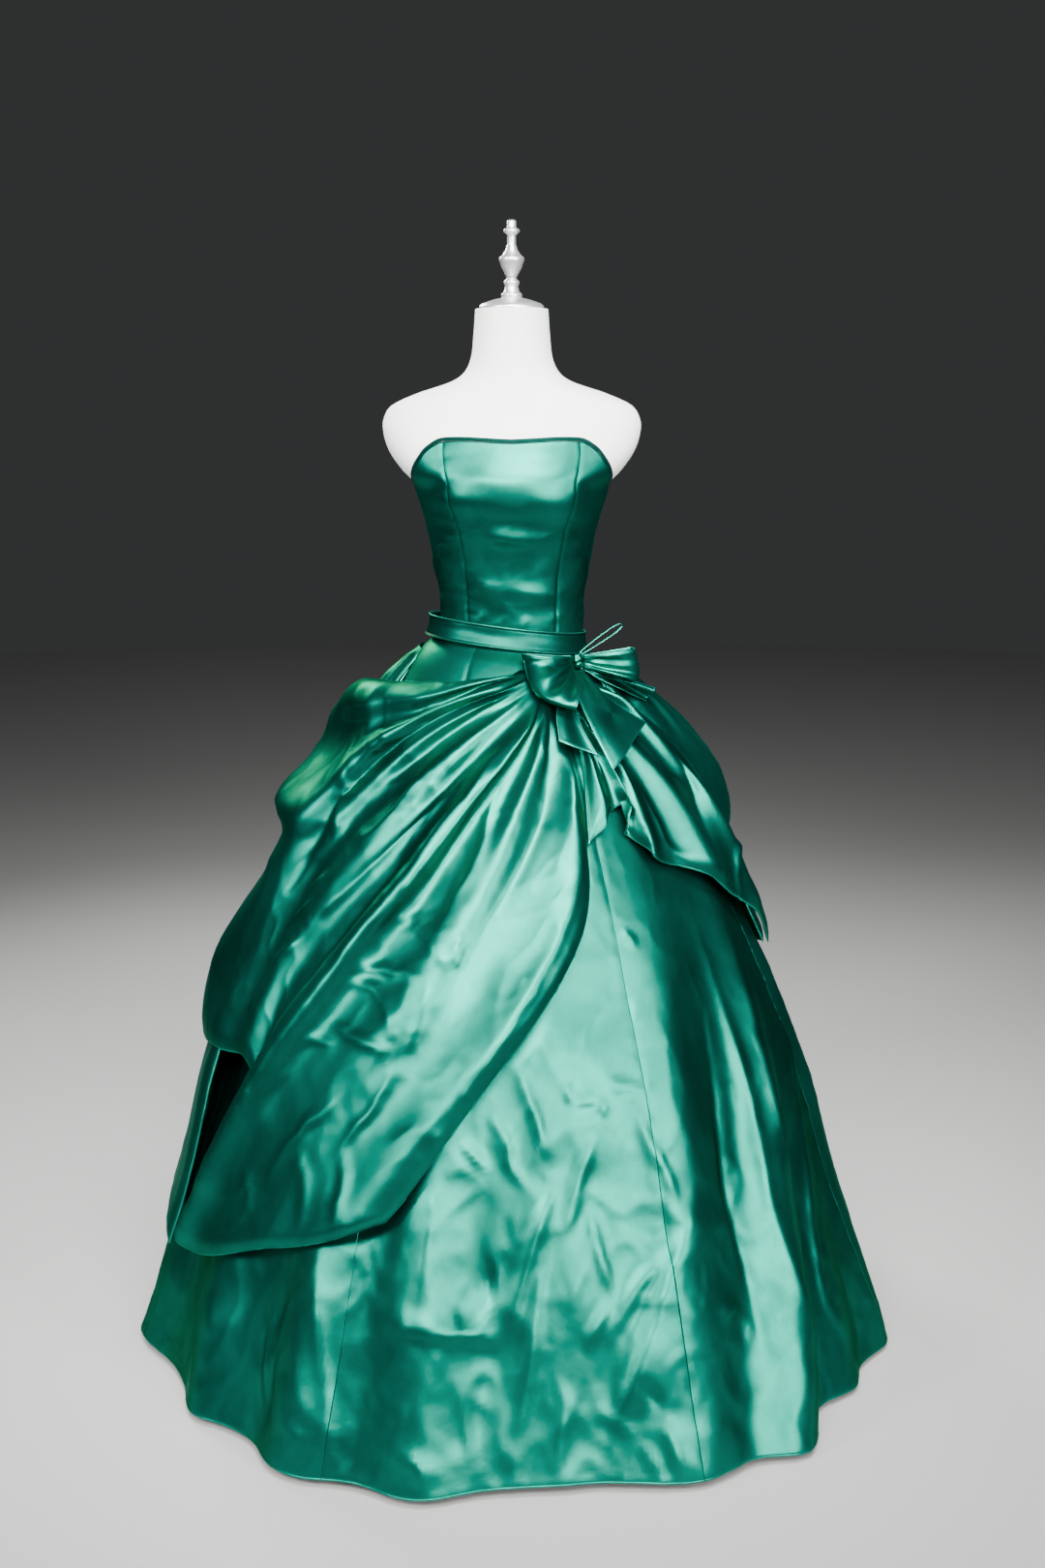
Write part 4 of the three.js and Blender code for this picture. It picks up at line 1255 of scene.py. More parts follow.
RIGHT_DRAPE = Drape(
    name="overskirt_right_drape",
    places=(0, 0.1, 0.22, 0.34, 0.44, 0.52, 0.6, 0.8, 1),
    angles=(
        (16, -14, -38, -62, -92, -124), (15, -14, -37, -60, -90, -122), (15, -20, -44, -62, -72, -90),
        (15, -16, -38, -56, -64, -68), (15, -12, -31, -47, -55, -57), (15, -6, -24, -40, -51, -54.5),
        (16, 0, -17, -35, -51, -63.5), (19, 13, 4, -9, -24, -41), (24, 24, 22.5, 17, -4.7, -19.5),
    ),
    heights=(
        (1066, 1055, 1049, 1044, 1036, 1000), (1062, 1042, 1008, 980, 925, 850),
        (1055, 1024, 976, 890, 740, 520), (1049, 1000, 930, 820, 670, 502),
        (1043, 976, 880, 765, 640, 505), (1037, 966, 866, 730, 580, 422), (1032, 958, 855, 700, 490, 231),
        (1016, 940, 830, 680, 500, 283), (1000, 930, 845, 722, 526, 354),
    ),
    folds=(
        (0.05, 0.04, 0, 1.2, 20, 0.04, 0.035), (0.2, 0.19, 0, 1.2, 27, 0.06, 0.045),
        (0.3, 0.3, 0.02, 0.75, 13, 0.035, 0.03), (0.44, 0.42, 0.15, 1.2, 17, 0.045, 0.04),
        (0.6, 0.6, 0, 1.1, 26, 0.06, 0.03), (0.72, 0.76, 0.05, 0.85, 15, 0.04, 0.05),
        (0.95, 0.93, 0.1, 1.3, 15, 0.07, 0.06),
    ),
    swells=((-92, 1030, 22, 24, 22, 55), (-90, 846, 46, 20, 44, 30), (-90, 600, 16, 22, 90, 70)),
    creases=RIGHT_HAND_DRAPE_CREASES,
    steps=(200, 190),
    pouf=1,
    onto=(-60, -70),
    full=0.5,
    crumpled=(0.35, 0.75, 0.15, 0.55),
    rests_on="skirt_front",
)
LEFT_DRAPE = Drape(
    name="overskirt_left_drape",
    places=(0, 0.16, 0.28, 0.38, 0.5, 0.66, 0.84, 1),
    angles=(
        (27, 27, 26.5, 25, 23.5, 22.5), (28.5, 29, 29.5, 30, 30.5, 31), (29.5, 31, 33, 34.5, 36, 37.5),
        (30.5, 33, 35, 36, 36, 36), (32, 36, 39, 41, 42, 42), (35, 43, 49, 53, 55.5, 57),
        (39, 54, 63, 69, 72, 74), (43, 63, 73.5, 75, 83, 91),
    ),
    heights=(
        (1004, 970, 935, 900, 866, 834), (1012, 985, 960, 932, 902, 868), (1018, 990, 965, 938, 910, 880),
        (1023, 990, 955, 918, 878, 838), (1030, 990, 948, 902, 855, 806),
        (1038, 1000, 948, 890, 828, 768), (1047, 1014, 950, 866, 780, 698),
        (1054, 1018, 950, 850, 730, 614),
    ),
    folds=(
        (0.12, 0.12, 0.2, 1.3, 12, 0.05, 0.04), (0.29, 0.28, 0.15, 1.3, 20, 0.04, 0.04),
        (0.48, 0.47, 0, 1.3, 20, 0.04, 0.05), (0.66, 0.7, 0.05, 1.1, 14, 0.06, 0.05),
        (0.86, 0.86, 0.05, 1.1, 16, 0.05, 0.05),
    ),
    swells=((86, 680, 8, 30, 60, 80),),
    creases=LEFT_HAND_DRAPE_CREASES,
    steps=(150, 110),
    pouf=0,
    onto=(48, 58),
    full=0.6,
    crumpled=(0.45, 0, 0, 1),
    rests_on="skirt_side_front_left",
    laid=9.0,
)


@dataclass
class Overskirt:
    """The draped overskirt: a long panel behind, two puffs at the hips and two drapes from the bow.

    Args:
        skirt: The skirt that it hangs over.
        crumple: Noise for its crumples.
        poufs: The two puffs.
        pouf_layer: How far the puffs' own layer lies outside the back panel.
        tail_edge: Lower edge of the back panel, as angles and heights.
        tail_swells: Its broad swells.
        tail_rows: How far down its rows lie, which is close together near the waist.
        tail_ripples: Layers of its crumpling.
        pouf_ripples: Those of a puff.
        drape_ripples: Those of a front drape.
    """

    skirt: Skirt
    crumple: Crumple
    poufs: tuple = (
        Pouf("bustle_pouf_left", 1, 58, 100, 775, 1.0, 92),
        Pouf("bustle_pouf_right", -1, 84, 116, 765, 0.9, 118),
    )
    pouf_layer: float = 2 + DRAPE_WALL
    tail_edge: tuple = ((-262, 600), (-220, 520), (-180, 420), (-140, 320), (-100, 240), (-68, 205))
    tail_swells: tuple = ((-180, 760, 22, 70, 130, 260), (-84, 500, 12, 16, 90, 120))
    tail_rows: tuple = (0, 0.015, 0.024, 0.037, 0.06, 0.1, 0.16, 0.24, 0.34, 0.46, 0.6, 0.74, 0.87, 1)
    tail_ripples: tuple = (
        Ripple(2.4, 95, 1.6), Ripple(2.8, 80, 1.6, 2.4), Ripple(1.1, 38, 1.3, 2.2, 200),
    )
    pouf_ripples: tuple = (Ripple(2.6, 60, 1.1, 2.2), Ripple(1.6, 80), Ripple(0.9, 27, 1, 2, 90))
    drape_ripples: tuple = (
        Ripple(1.8, 105, 1.3), Ripple(2.8, 88, 1.2, 2.4), Ripple(1.5, 44, 1.1, 3, 500),
    )

    def tail_out(self, angle: Number, z: Number) -> Number:
        """How far the face of the back panel stands out.

        Args:
            angle: Degrees round the figure.
            z: Height.

        Returns:
            The distance from the skirt's plain section.
        """
        under = self.skirt.crest_out(angle, z) + LAYER_GAP * ramp(1075, 1030, z) + DRAPE_WALL
        way = -turned(angle - 180) / 360
        waves = 1 + np.cos(way * 2 * np.pi * 9 + 2 * np.sin(way * 9))
        return under + 8 * waves * ramp(1000, 500, z) + swell_rise(self.tail_swells, angle, z)

    def side_out(self, pouf: Pouf, angle: Number, z: Number) -> Number:
        """The level that a front drape lies on, over a puff.

        Args:
            pouf: The puff.
            angle: Degrees round the figure.
            z: Height.

        Returns:
            The distance from the skirt's plain section.
        """
        layer = self.pouf_layer * ramp(pouf.start - 12, pouf.start - 2, np.abs(turned(angle)))
        covered = 1 - ramp(0, 30, pouf.low_edge(angle) - z)
        return self.tail_out(angle, z) + layer * covered + pouf.rise(angle, z)

    def piece(self, name: str, smooth: Array, rise: Array, held: Held, rests_on: str, *hems: str) -> Cloth:
        """A piece, with its creases added to its smooth face.

        Args:
            name: Name of its node.
            smooth: Grid of points.
            rise: How far each point moves out.
            held: How the sheet is held.
            rests_on: The node it rests on.
            hems: Edges with a rolled hem.

        Returns:
            The piece's cloth.
        """
        way = smooth * OUT_AND_UP
        face = smooth + outward(smooth, way) * rise[..., None]
        return Cloth(
            name, smooth, face, way, DRAPE_WALL, held, (rests_on,), hems=hems, roll=1.0, curl=7.0
        )

    def tail(self) -> Cloth:
        """The long panel that falls behind.

        Returns:
            The panel's cloth.
        """
        u, v = shares(230, 130, 0.0012)
        lean = mix(-68, -262, u)
        drop = curve(np.linspace(0, 1, len(self.tail_rows)), self.tail_rows, v)
        z = mix(waist_at(lean) - 30, column_at(self.tail_edge, 1, lean), drop)
        angle = lean - 26 * (1 - v) ** 1.5 * ramp(-120, -68, lean)
        inner = self.skirt.out(angle, z) + 2 * REST_GAP + DRAPE_WALL
        out = mix(inner, self.tail_out(angle, z), ramp(0, 0.12, v))
        smooth = self.skirt.point(angle, z, out)
        rise = np.clip(self.crumple.layers(smooth, *self.tail_ripples), -2.5, 3.2) * ramp(0.05, 0.2, v)
        where = ("skirt_back_left", "start", "end", "last")
        return self.piece("overskirt_back", smooth, rise, Held.GATHERED, *where)

    def puff(self, pouf: Pouf) -> Cloth:
        """One of the two puffs, with gathers at its top.

        Args:
            pouf: The puff.

        Returns:
            Its cloth.
        """
        u, v = shares(150, 96, 0.002)
        angle = pouf.side * mix(pouf.start, 179.2, u)
        z = mix(waist_at(angle) - POUF_DROP, pouf.low_edge(angle), v)
        out = self.tail_out(angle, z) + self.pouf_layer + pouf.rise(angle, z)
        smooth = self.skirt.point(angle, z, out)
        noise = self.crumple
        pleats = np.sin(np.radians(angle) * 30 + noise.layers(smooth, Ripple(2.2, 70)))
        pleats = pleats * ramp(0, 0.07, v) * (1 - ramp(0.2, 0.62, v))
        tucks = ramp(1, 0.95, v) * ramp(0.5, 0.95, v) * np.sin(np.radians(angle) * 17 + 1)
        rise = 3.0 * pleats + 2.6 * tucks + noise.layers(smooth, *self.pouf_ripples)
        room = np.where(np.abs(turned(angle)) < pouf.covered, 2.5, 8.0)
        rise = np.minimum(rise, room) * ramp(0, 0.05, v)
        return self.piece(pouf.name, smooth, rise, Held.GATHERED, "overskirt_back", "start", "last")

    def on_drape(self, smooth: Array, angle: Array, z: Array) -> Array:
        """Points of a drape in front of places on the skirt.

        Args:
            smooth: Grid of points of the drape.
            angle: Angles of the places.
            z: Their heights.

        Returns:
            The nearest point of the drape to a line straight out from each place.
        """
        flat = smooth.reshape(-1, 3)
        level = self.skirt.crest_out(angle, z) + LAYER_GAP + DRAPE_WALL + 12
        spots = self.skirt.point(angle, z, level)
        found = []
        for spot, way in zip(spots, unit(spots * LEVEL)):
            offset = flat - spot
            ahead = offset @ way
            aside = np.linalg.norm(offset - ahead[:, None] * way, axis=1)
            found.append(flat[int(np.argmin(aside + 0.05 * np.abs(ahead)))])
        return np.array(found)

    def drape(self, shape: Drape) -> Cloth:
        """One of the two front drapes, pleated in at the bow.

        Args:
            shape: Its guides, folds, swells and creases.

        Returns:
            The drape's cloth.
        """
        s, t = shares(*shape.steps, 0.0016)
        angle, z = (shape.guided(rows, s, t) for rows in (shape.angles, shape.heights))
        over = self.side_out(self.poufs[shape.pouf], angle, z)
        floor = mix(self.skirt.crest_out(angle, z), over, ramp(*shape.onto, angle))
        rise = 5 * ramp(0.1, shape.full, t) + shape.fold_rise(s, t) + swell_rise(shape.swells, angle, z)
        laid = shape.laid * ramp(0.82, 1, t) * ramp(0.55, 0.8, s)
        root = self.skirt.out(angle, z) + REST_GAP + DRAPE_WALL
        out = mix(root, floor + LAYER_GAP + DRAPE_WALL + rise - laid, ramp(0, 0.12, t))
        smooth = self.skirt.point(angle, z, out)
        least, gain, start, stop = shape.crumpled
        strength = least + gain * ramp(start, stop, t)
        normal = outward(smooth, smooth * OUT_AND_UP)
        creased = self.crumple.layers(smooth, *self.drape_ripples) * strength
        creased = creased + drawn(shape.creases, smooth, normal, partial(self.on_drape, smooth))
        pleats = 1.3 * np.sin(s * 44 + 1.5 * np.sin(s * 17)) * ramp(0.02, 0.09, t)
        creased = creased + pleats * (1 - ramp(0.1, 0.34, t))
        creased = np.maximum(creased, -5.5) * ramp(0.015, 0.09, t)
        where = (shape.rests_on, "start", "end", "last")
        return self.piece(shape.name, smooth, creased, Held.DRAPED, *where)

    def pieces(self) -> list:
        """All five pieces of the overskirt."""
        puffs = [self.puff(pouf) for pouf in self.poufs]
        return [self.tail(), *puffs, self.drape(RIGHT_DRAPE), self.drape(LEFT_DRAPE)]


@dataclass(frozen=True)
class Loop:
    """A broad loop of the bow, in millimetres across and up from the knot.

    Args:
        name: Name of its node.
        side: -1 for the viewer's left, 1 for the right.
        root: How far from the knot's middle it starts.
        high: Upper corner of its far fold.
        low: Lower corner of its far fold.
        full: How far the far fold bows out.
        depth: How far the loop opens.
    """

    name: str
    side: int
    root: float
    high: tuple
    low: tuple
    full: float
    depth: float


@dataclass(frozen=True)
class Tail:
    """A tail of ribbon, in millimetres across and up from the knot.

    Args:
        name: Name of its node.
        left: Its left edge at the knot, half way and at its cut end.
        right: Its right edge at the same places.
        out: How far it stands out there.
        roll: How far its edges curl.
        lift: How steeply its right side is lifted off, for each millimetre across.
    """

    name: str
    left: tuple
    right: tuple
    out: tuple
    roll: float
    lift: float = 0.0


@dataclass
class Bow:
    """The bow at the hip: a knot, two broad loops, a thin one and three tails.

    Args:
        skirt: The skirt that it lies on.
        crumple: Noise for its crumples.
        knot: Middle of the knot.
        knot_size: Its half sizes.
        turn: Degrees that the bow is turned from the front.
        cover: How far out the draped cloth lies under it, by height.
        loops: Its broad loops.
        tails: Its tails.
        tail_places: The places along a tail at which its edges are given.
        thin: Start, length, half width, ribbon width, height and slope of the thin loop.
    """

    skirt: Skirt
    crumple: Crumple
    knot: tuple = (98.0, -85.2, 1070.0)
    knot_size: tuple = (7.6, 7.6, 12.5)
    turn: float = 20.0
    cover: tuple = (
        (860, 50), (900, 48), (940, 46), (980, 41), (1010, 34), (1040, 22), (1060, 13), (1080, 8),
    )
    loops: tuple = (
        Loop("bow_loop_right", -1, 6.8, (-84, 16), (-16, -58), 15, 15),
        Loop("bow_loop_left", 1, 6, (80, 18), (86, -34), 6, 13),
    )
    tails: tuple = (
        Tail(
            "bow_tail_front",
            left=((-5, -12.9), (-1, -52), (42, -137)),
            right=((6, -12.9), (52, -56), (92, -84)),
            out=(1, 12, 17),
            roll=3,
            lift=0.16,
        ),
        Tail(
            "bow_tail_back",
            left=((-8, -12.2), (-30, -58), (-29, -98)),
            right=((1, -13), (0, -66), (27, -120)),
            out=(-2.4, -5, -2),
            roll=3,
        ),
        Tail(
            "bow_tail_side",
            left=((7.6, -7.5), (60, -26), (120, -46)),
            right=((6, -11.3), (58, -38), (106, -66)),
            out=(-2.7, 0, 0),
            roll=4,
        ),
    )
    tail_places: tuple = (0, 0.45, 1)
    thin: tuple = (4, 75, 6.5, 5, 9, 33)

    def out_way(self) -> Array:
        """The direction that the bow faces."""
        return np.array([math.sin(math.radians(self.turn)), -math.cos(math.radians(self.turn)), 0])

    def cover_depth(self, across: Array, up: Array) -> Array:
        """How far forward the draped cloth reaches at a place by the knot.

        Args:
            across: Distance across from the knot.
            up: Distance up from it.

        Returns:
            The depth, in front of the middle of the figure.
        """
        x, z = self.knot[0] + across, self.knot[2] + up
        out = mix(3.5, column_at(self.cover, 1, z), ramp(6, 36, np.hypot(across, up)))
        angle = np.zeros(np.shape(x))
        for _ in range(6):
            half = self.skirt.section(angle, z)[0]
            angle = np.degrees(np.arcsin(np.clip(x / (half + out), -1, 1)))
        return (self.skirt.section(angle, z)[1] + out) * np.cos(np.radians(angle))

    def point(self, across: Array, up: Array, out: Array) -> Array:
        """A point of the bow, which stays in front of the cloth below it.

        Args:
            across: Distance across from the knot.
            up: Distance up from it.
            out: Distance out, the way the bow faces.

        Returns:
            The point, in millimetres.
        """
        plane = -self.knot[1] - across * math.tan(math.radians(self.turn))
        depth = soft_max(plane, self.cover_depth(across, up), 8) - soft_max(0, -8, 8)
        spot = np.broadcast_arrays(self.knot[0] + across, -depth, self.knot[2] + up)
        return np.stack(spot, axis=-1) + self.out_way() * np.asarray(out)[..., None]

    def ribbon(self, name: str, smooth: Array, rise: Array, way: Array, *hems: str) -> Cloth:
        """A ribbon of the bow, with its creases added to its smooth face.

        Args:
            name: Name of its node.
            smooth: Grid of points.
            rise: How far each point moves out.
            way: The way out, at each point or for all.
            hems: Edges with a rolled hem.

        Returns:
            The ribbon's cloth.
        """
        face = smooth + outward(smooth, way) * rise[..., None]
        return Cloth(
            name, smooth, face, way, RIBBON_WALL, Held.FOLDED, ("bow_knot",), hems=hems, roll=0.5
        )

    def loop(self, shape: Loop) -> Cloth:
        """A broad loop, which leaves the knot and comes back behind itself.

        Args:
            shape: The loop's sizes.

        Returns:
            The loop's cloth.
        """
        u, v = shares(110, 56, 0.01)
        way = mix(0.004, 0.996, u)
        along = 1 - np.abs(2 * way - 1)
        reach = np.sin(along * np.pi / 2)
        swell = shape.depth * np.sin(np.pi * np.minimum(along, 0.999)) ** 0.75
        bowed = shape.full * np.sin(np.pi * v)
        rim_x = mix(shape.high[0], shape.low[0], v) + shape.side * bowed
        rim_z = mix(shape.high[1], shape.low[1], v) - bowed
        face = np.where(way < 0.5, 1.0, -1.0)
        fold = np.where(face > 0, 16 * np.sin(3 * np.pi * v) * (1 - reach) * along, 0)
        opened = swell + 5 * ramp(0, 0.3, along) + face * (1.8 + swell) + fold
        across = mix(shape.side * shape.root, rim_x, reach)
        smooth = self.point(across, mix(8.4 * (1 - 2 * v), rim_z, reach), opened)
        fan = mix(v, 0.5 + (v - 0.5) * 0.8, along)
        gathers = np.sin(fan * (12 + 0.6 * shape.full) + 0.8) * bump((along - 0.26) / 0.42)
        rise = 2.6 * gathers * ramp(0.03, 0.14, along) + self.crumple.layers(smooth, Ripple(1.2, 34))
        out = self.out_way() * face[..., None] * (0.1 < along)[..., None]
        return self.ribbon(shape.name, smooth, rise * ramp(0, 0.08, along), out, "first", "last")

    def tail(self, shape: Tail) -> Cloth:
        """A tail of ribbon.

        Args:
            shape: The tail's sizes.

        Returns:
            The tail's cloth.
        """
        u, v = shares(40, 84, 0.012)
        (left, low), (right, high) = (
            [curve(self.tail_places, values, v) for values in zip(*edge)]
            for edge in (shape.left, shape.right)
        )
        across, up = mix(left, right, u), mix(low, high, u)
        stand = curve(self.tail_places, shape.out, v) + shape.roll * np.sin(2 * np.pi * u) * v
        smooth = self.point(across, up, stand + shape.lift * (across - left) * v)
        folds = np.sin(u * 16 + 2 * np.sin(v * 3)) * (1 - ramp(0.1, 0.55, v))
        rise = (0.8 * folds + self.crumple.layers(smooth, Ripple(1.0, 44))) * ramp(0.02, 0.12, v)
        return self.ribbon(shape.name, smooth, rise, self.out_way(), "start", "end", "last")

    def thin_loop(self) -> Cloth:
        """The thin loop of narrow ribbon beside the knot.

        Returns:
            The loop's cloth.
        """
        start, length, half, width, height, slope = self.thin
        lean = math.radians(slope)
        u, v = np.meshgrid(np.arange(140) / 140, np.linspace(0, 1, 9))
        turn = 2 * np.pi * u
        reach = (1 - np.cos(turn)) / 2
        side = np.sign(np.sin(turn)) * np.abs(np.sin(turn)) ** 0.55
        along, across = start + length * reach, half * side * (0.6 + 0.4 * reach)
        smooth = self.point(
            along * math.cos(lean) - across * math.sin(lean),
            height + along * math.sin(lean) + across * math.cos(lean),
            width * (v - 0.5),
        )
        way = smooth - smooth.reshape(-1, 3).mean(axis=0)
        rise = self.crumple.layers(smooth, Ripple(0.35, 18))
        face = smooth + outward(smooth, way, True) * rise[..., None]
        under, hems = ("bow_knot",), ("first", "last")
        return Cloth("bow_thin_loop", smooth, face, way, THIN_WALL, Held.FOLDED, under, True, hems, 0.2)

    def pieces(self) -> list:
        """The loops and tails."""
        loops = [self.loop(shape) for shape in self.loops]
        return [*loops, self.thin_loop(), *[self.tail(shape) for shape in self.tails]]

    def knot_piece(self, finish: bpy.types.Material) -> bpy.types.Object:
        """The knot: a small ball drawn in by the ribbons, wrapped round with pleats.

        Args:
            finish: Its satin.

        Returns:
            The knot.
        """
        bpy.ops.object.select_all(action="DESELECT")
        bpy.ops.mesh.primitive_uv_sphere_add(segments=72, ring_count=48, radius=1)
        made = bpy.context.active_object
        made.name = "bow_knot_wrapped"
        mesh = made.data
        spots = np.empty(len(mesh.vertices) * 3)
        mesh.vertices.foreach_get("co", spots)
        spots = spots.reshape(-1, 3)
        up, way = spots[:, 2], np.arctan2(spots[:, 1], spots[:, 0])
        pleats = 0.075 * np.sin(5.5 * way + 3.0 * up) + 0.07 * np.sin(9 * up + 1.3 * np.sin(2 * way))
        shaped = spots * (0.95 + pleats * np.sqrt(np.clip(1 - up**2, 0, 1)))[:, None]
        mesh.vertices.foreach_set("co", ((shaped * self.knot_size + self.knot) * MM).ravel())
        mesh.update()
        bpy.ops.object.shade_smooth()
        fit_out(made, "bow_knot", finish)
        LOG.info("%s: wrapped round the ribbons", made.name)
        return made


# The dress form


@dataclass
class DressForm:
    """The limbless form, its cap and finial, and the stand that carries it.

    Args:
        figure: The shape of its body.
        cap: Outline of the neck cap, as radii and heights.
        finial: Outline of the finial.
        sides: Steps round the body.
        rings: Heights of its rings, as rows of first, last and number.
    """

    figure: Figure
    cap: tuple = ((0, 1584.3), (48, 1584.3), (48, 1588), (44, 1592), (26, 1598), (17, 1600), (0, 1600))
    finial: tuple = (
        (0, 1600.3), (15, 1600.3), (15.5, 1606), (11.5, 1609), (9.5, 1617), (11.5, 1621), (11.5, 1624),
        (7, 1628), (9, 1633), (15, 1644), (18.6, 1654), (18.6, 1658), (13.5, 1662), (9, 1669),
        (6.4, 1677), (6.4, 1690), (12, 1694.5), (12, 1698), (6.8, 1701), (6.8, 1710), (5, 1712),
        (0, 1712),
    )
    sides: int = 128
    rings: tuple = ((866, 866, 1), (868, 1440, 160), (1443, 1583, 60), (1584, 1584, 1))

    def body(self, finish: bpy.types.Material) -> bpy.types.Object:
        """The padded body, skinned smoothly over its sections and closed below and at the neck.

        Args:
            finish: Its knitted cover.

        Returns:
            The body.
        """
        heights = np.concatenate([np.linspace(*row) for row in self.rings])
        grid = self.figure.point(*np.meshgrid(np.arange(self.sides) * 360 / self.sides, heights))
        ends = [[0, grid[k, :, 1].mean(), heights[k]] for k in (0, -1)]
        points = np.concatenate([grid.reshape(-1, 3), ends]) * MM
        ids = np.arange(len(points) - 2).reshape(-1, self.sides)
        after = np.roll(ids, -1, axis=1)
        faces = np.stack([ids[:-1], after[:-1], after[1:], ids[1:]], axis=-1).reshape(-1, 4).tolist()
        low, high = len(points) - 2, len(points) - 1
        faces += [[first, last, low] for first, last in zip(after[0].tolist(), ids[0].tolist())]
        faces += [[first, last, high] for first, last in zip(ids[-1].tolist(), after[-1].tolist())]
        mesh = bpy.data.meshes.new("dress_form_body")
        mesh.from_pydata(points.tolist(), [], faces)
        mesh.polygons.foreach_set("use_smooth", np.ones(len(faces), dtype=bool))
        mesh.update()
        made = placed("dress_form_body", mesh)
        fit_out(made, "dress_form", finish)
        LOG.info("%s: %d rings", made.name, len(heights))
        return made

    def turned_piece(
        self, node: str, profile: tuple, soften: float, finish: bpy.types.Material
    ) -> bpy.types.Object:
        """A turned metal piece, spun from its outline.

        Args:
            node: Node that it replaces.
            profile: Radius and height of each point of the outline.
            soften: Radius of its softened edges, in millimetres.
            finish: Its metal.

        Returns:
            The finished object.
        """
        mesh = bpy.data.meshes.new(f"{node}_turned")
        spots = [(radius * MM, 0.0, z * MM) for radius, z in profile]
        mesh.from_pydata(spots, [(k, k + 1) for k in range(len(spots) - 1)], [])
        made = placed(f"{node}_turned", mesh)
        bpy.ops.object.select_all(action="DESELECT")
        made.select_set(True)
        bpy.context.view_layer.objects.active = made
        bpy.ops.object.mode_set(mode="EDIT")
        bpy.ops.mesh.select_all(action="SELECT")
        bpy.ops.mesh.spin(steps=72, angle=2 * math.pi, center=(0, 0, 0), axis=(0, 0, 1))
        bpy.ops.mesh.select_all(action="SELECT")
        bpy.ops.mesh.remove_doubles(threshold=1e-6)
        bpy.ops.mesh.normals_make_consistent(inside=False)
        bpy.ops.object.mode_set(mode="OBJECT")
        edges = made.modifiers.new("edges", "BEVEL")
        edges.width = soften * MM
        edges.segments = 3
        edges.limit_method = "ANGLE"
        edges.angle_limit = math.radians(16)
        bpy.ops.object.modifier_apply(modifier="edges")
        bpy.ops.object.shade_smooth_by_angle(angle=math.radians(40))
        fit_out(made, node, finish)
        LOG.info("%s: turned from %d points", made.name, len(profile))
        return made

    def stand(self, finish: bpy.types.Material) -> None:
        """Paints the pole and the base, which keep the part's own shapes.

        Args:
            finish: Their paint.
        """
        for node in ("stand_base", "stand_pole"):
            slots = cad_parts[node].data.materials
            slots.clear()
            slots.append(finish)
        LOG.info("stand: painted")


# Finishes


class Value:
    """One output of a shader graph, with the arithmetic that the finishes use."""

    def __init__(self, graph: "Graph", socket: bpy.types.NodeSocket) -> None:
        """Wraps a socket."""
        self.graph = graph
        self.socket = socket

    def math(self, operation: str, first: object, second: object) -> "Value":
        """One Math node on two values or numbers."""
        return self.graph.read("ShaderNodeMath", 0, {"operation": operation}, {0: first, 1: second})

    def __add__(self, other: object) -> "Value":
        """Sum."""
        return self.math("ADD", self, other)

    __radd__ = __add__

    def __mul__(self, other: object) -> "Value":
        """Product."""
        return self.math("MULTIPLY", self, other)

    __rmul__ = __mul__

    def __sub__(self, other: object) -> "Value":
        """Difference."""
        return self.math("SUBTRACT", self, other)

    def __rsub__(self, other: object) -> "Value":
        """Difference from a number."""
        return self.math("SUBTRACT", other, self)


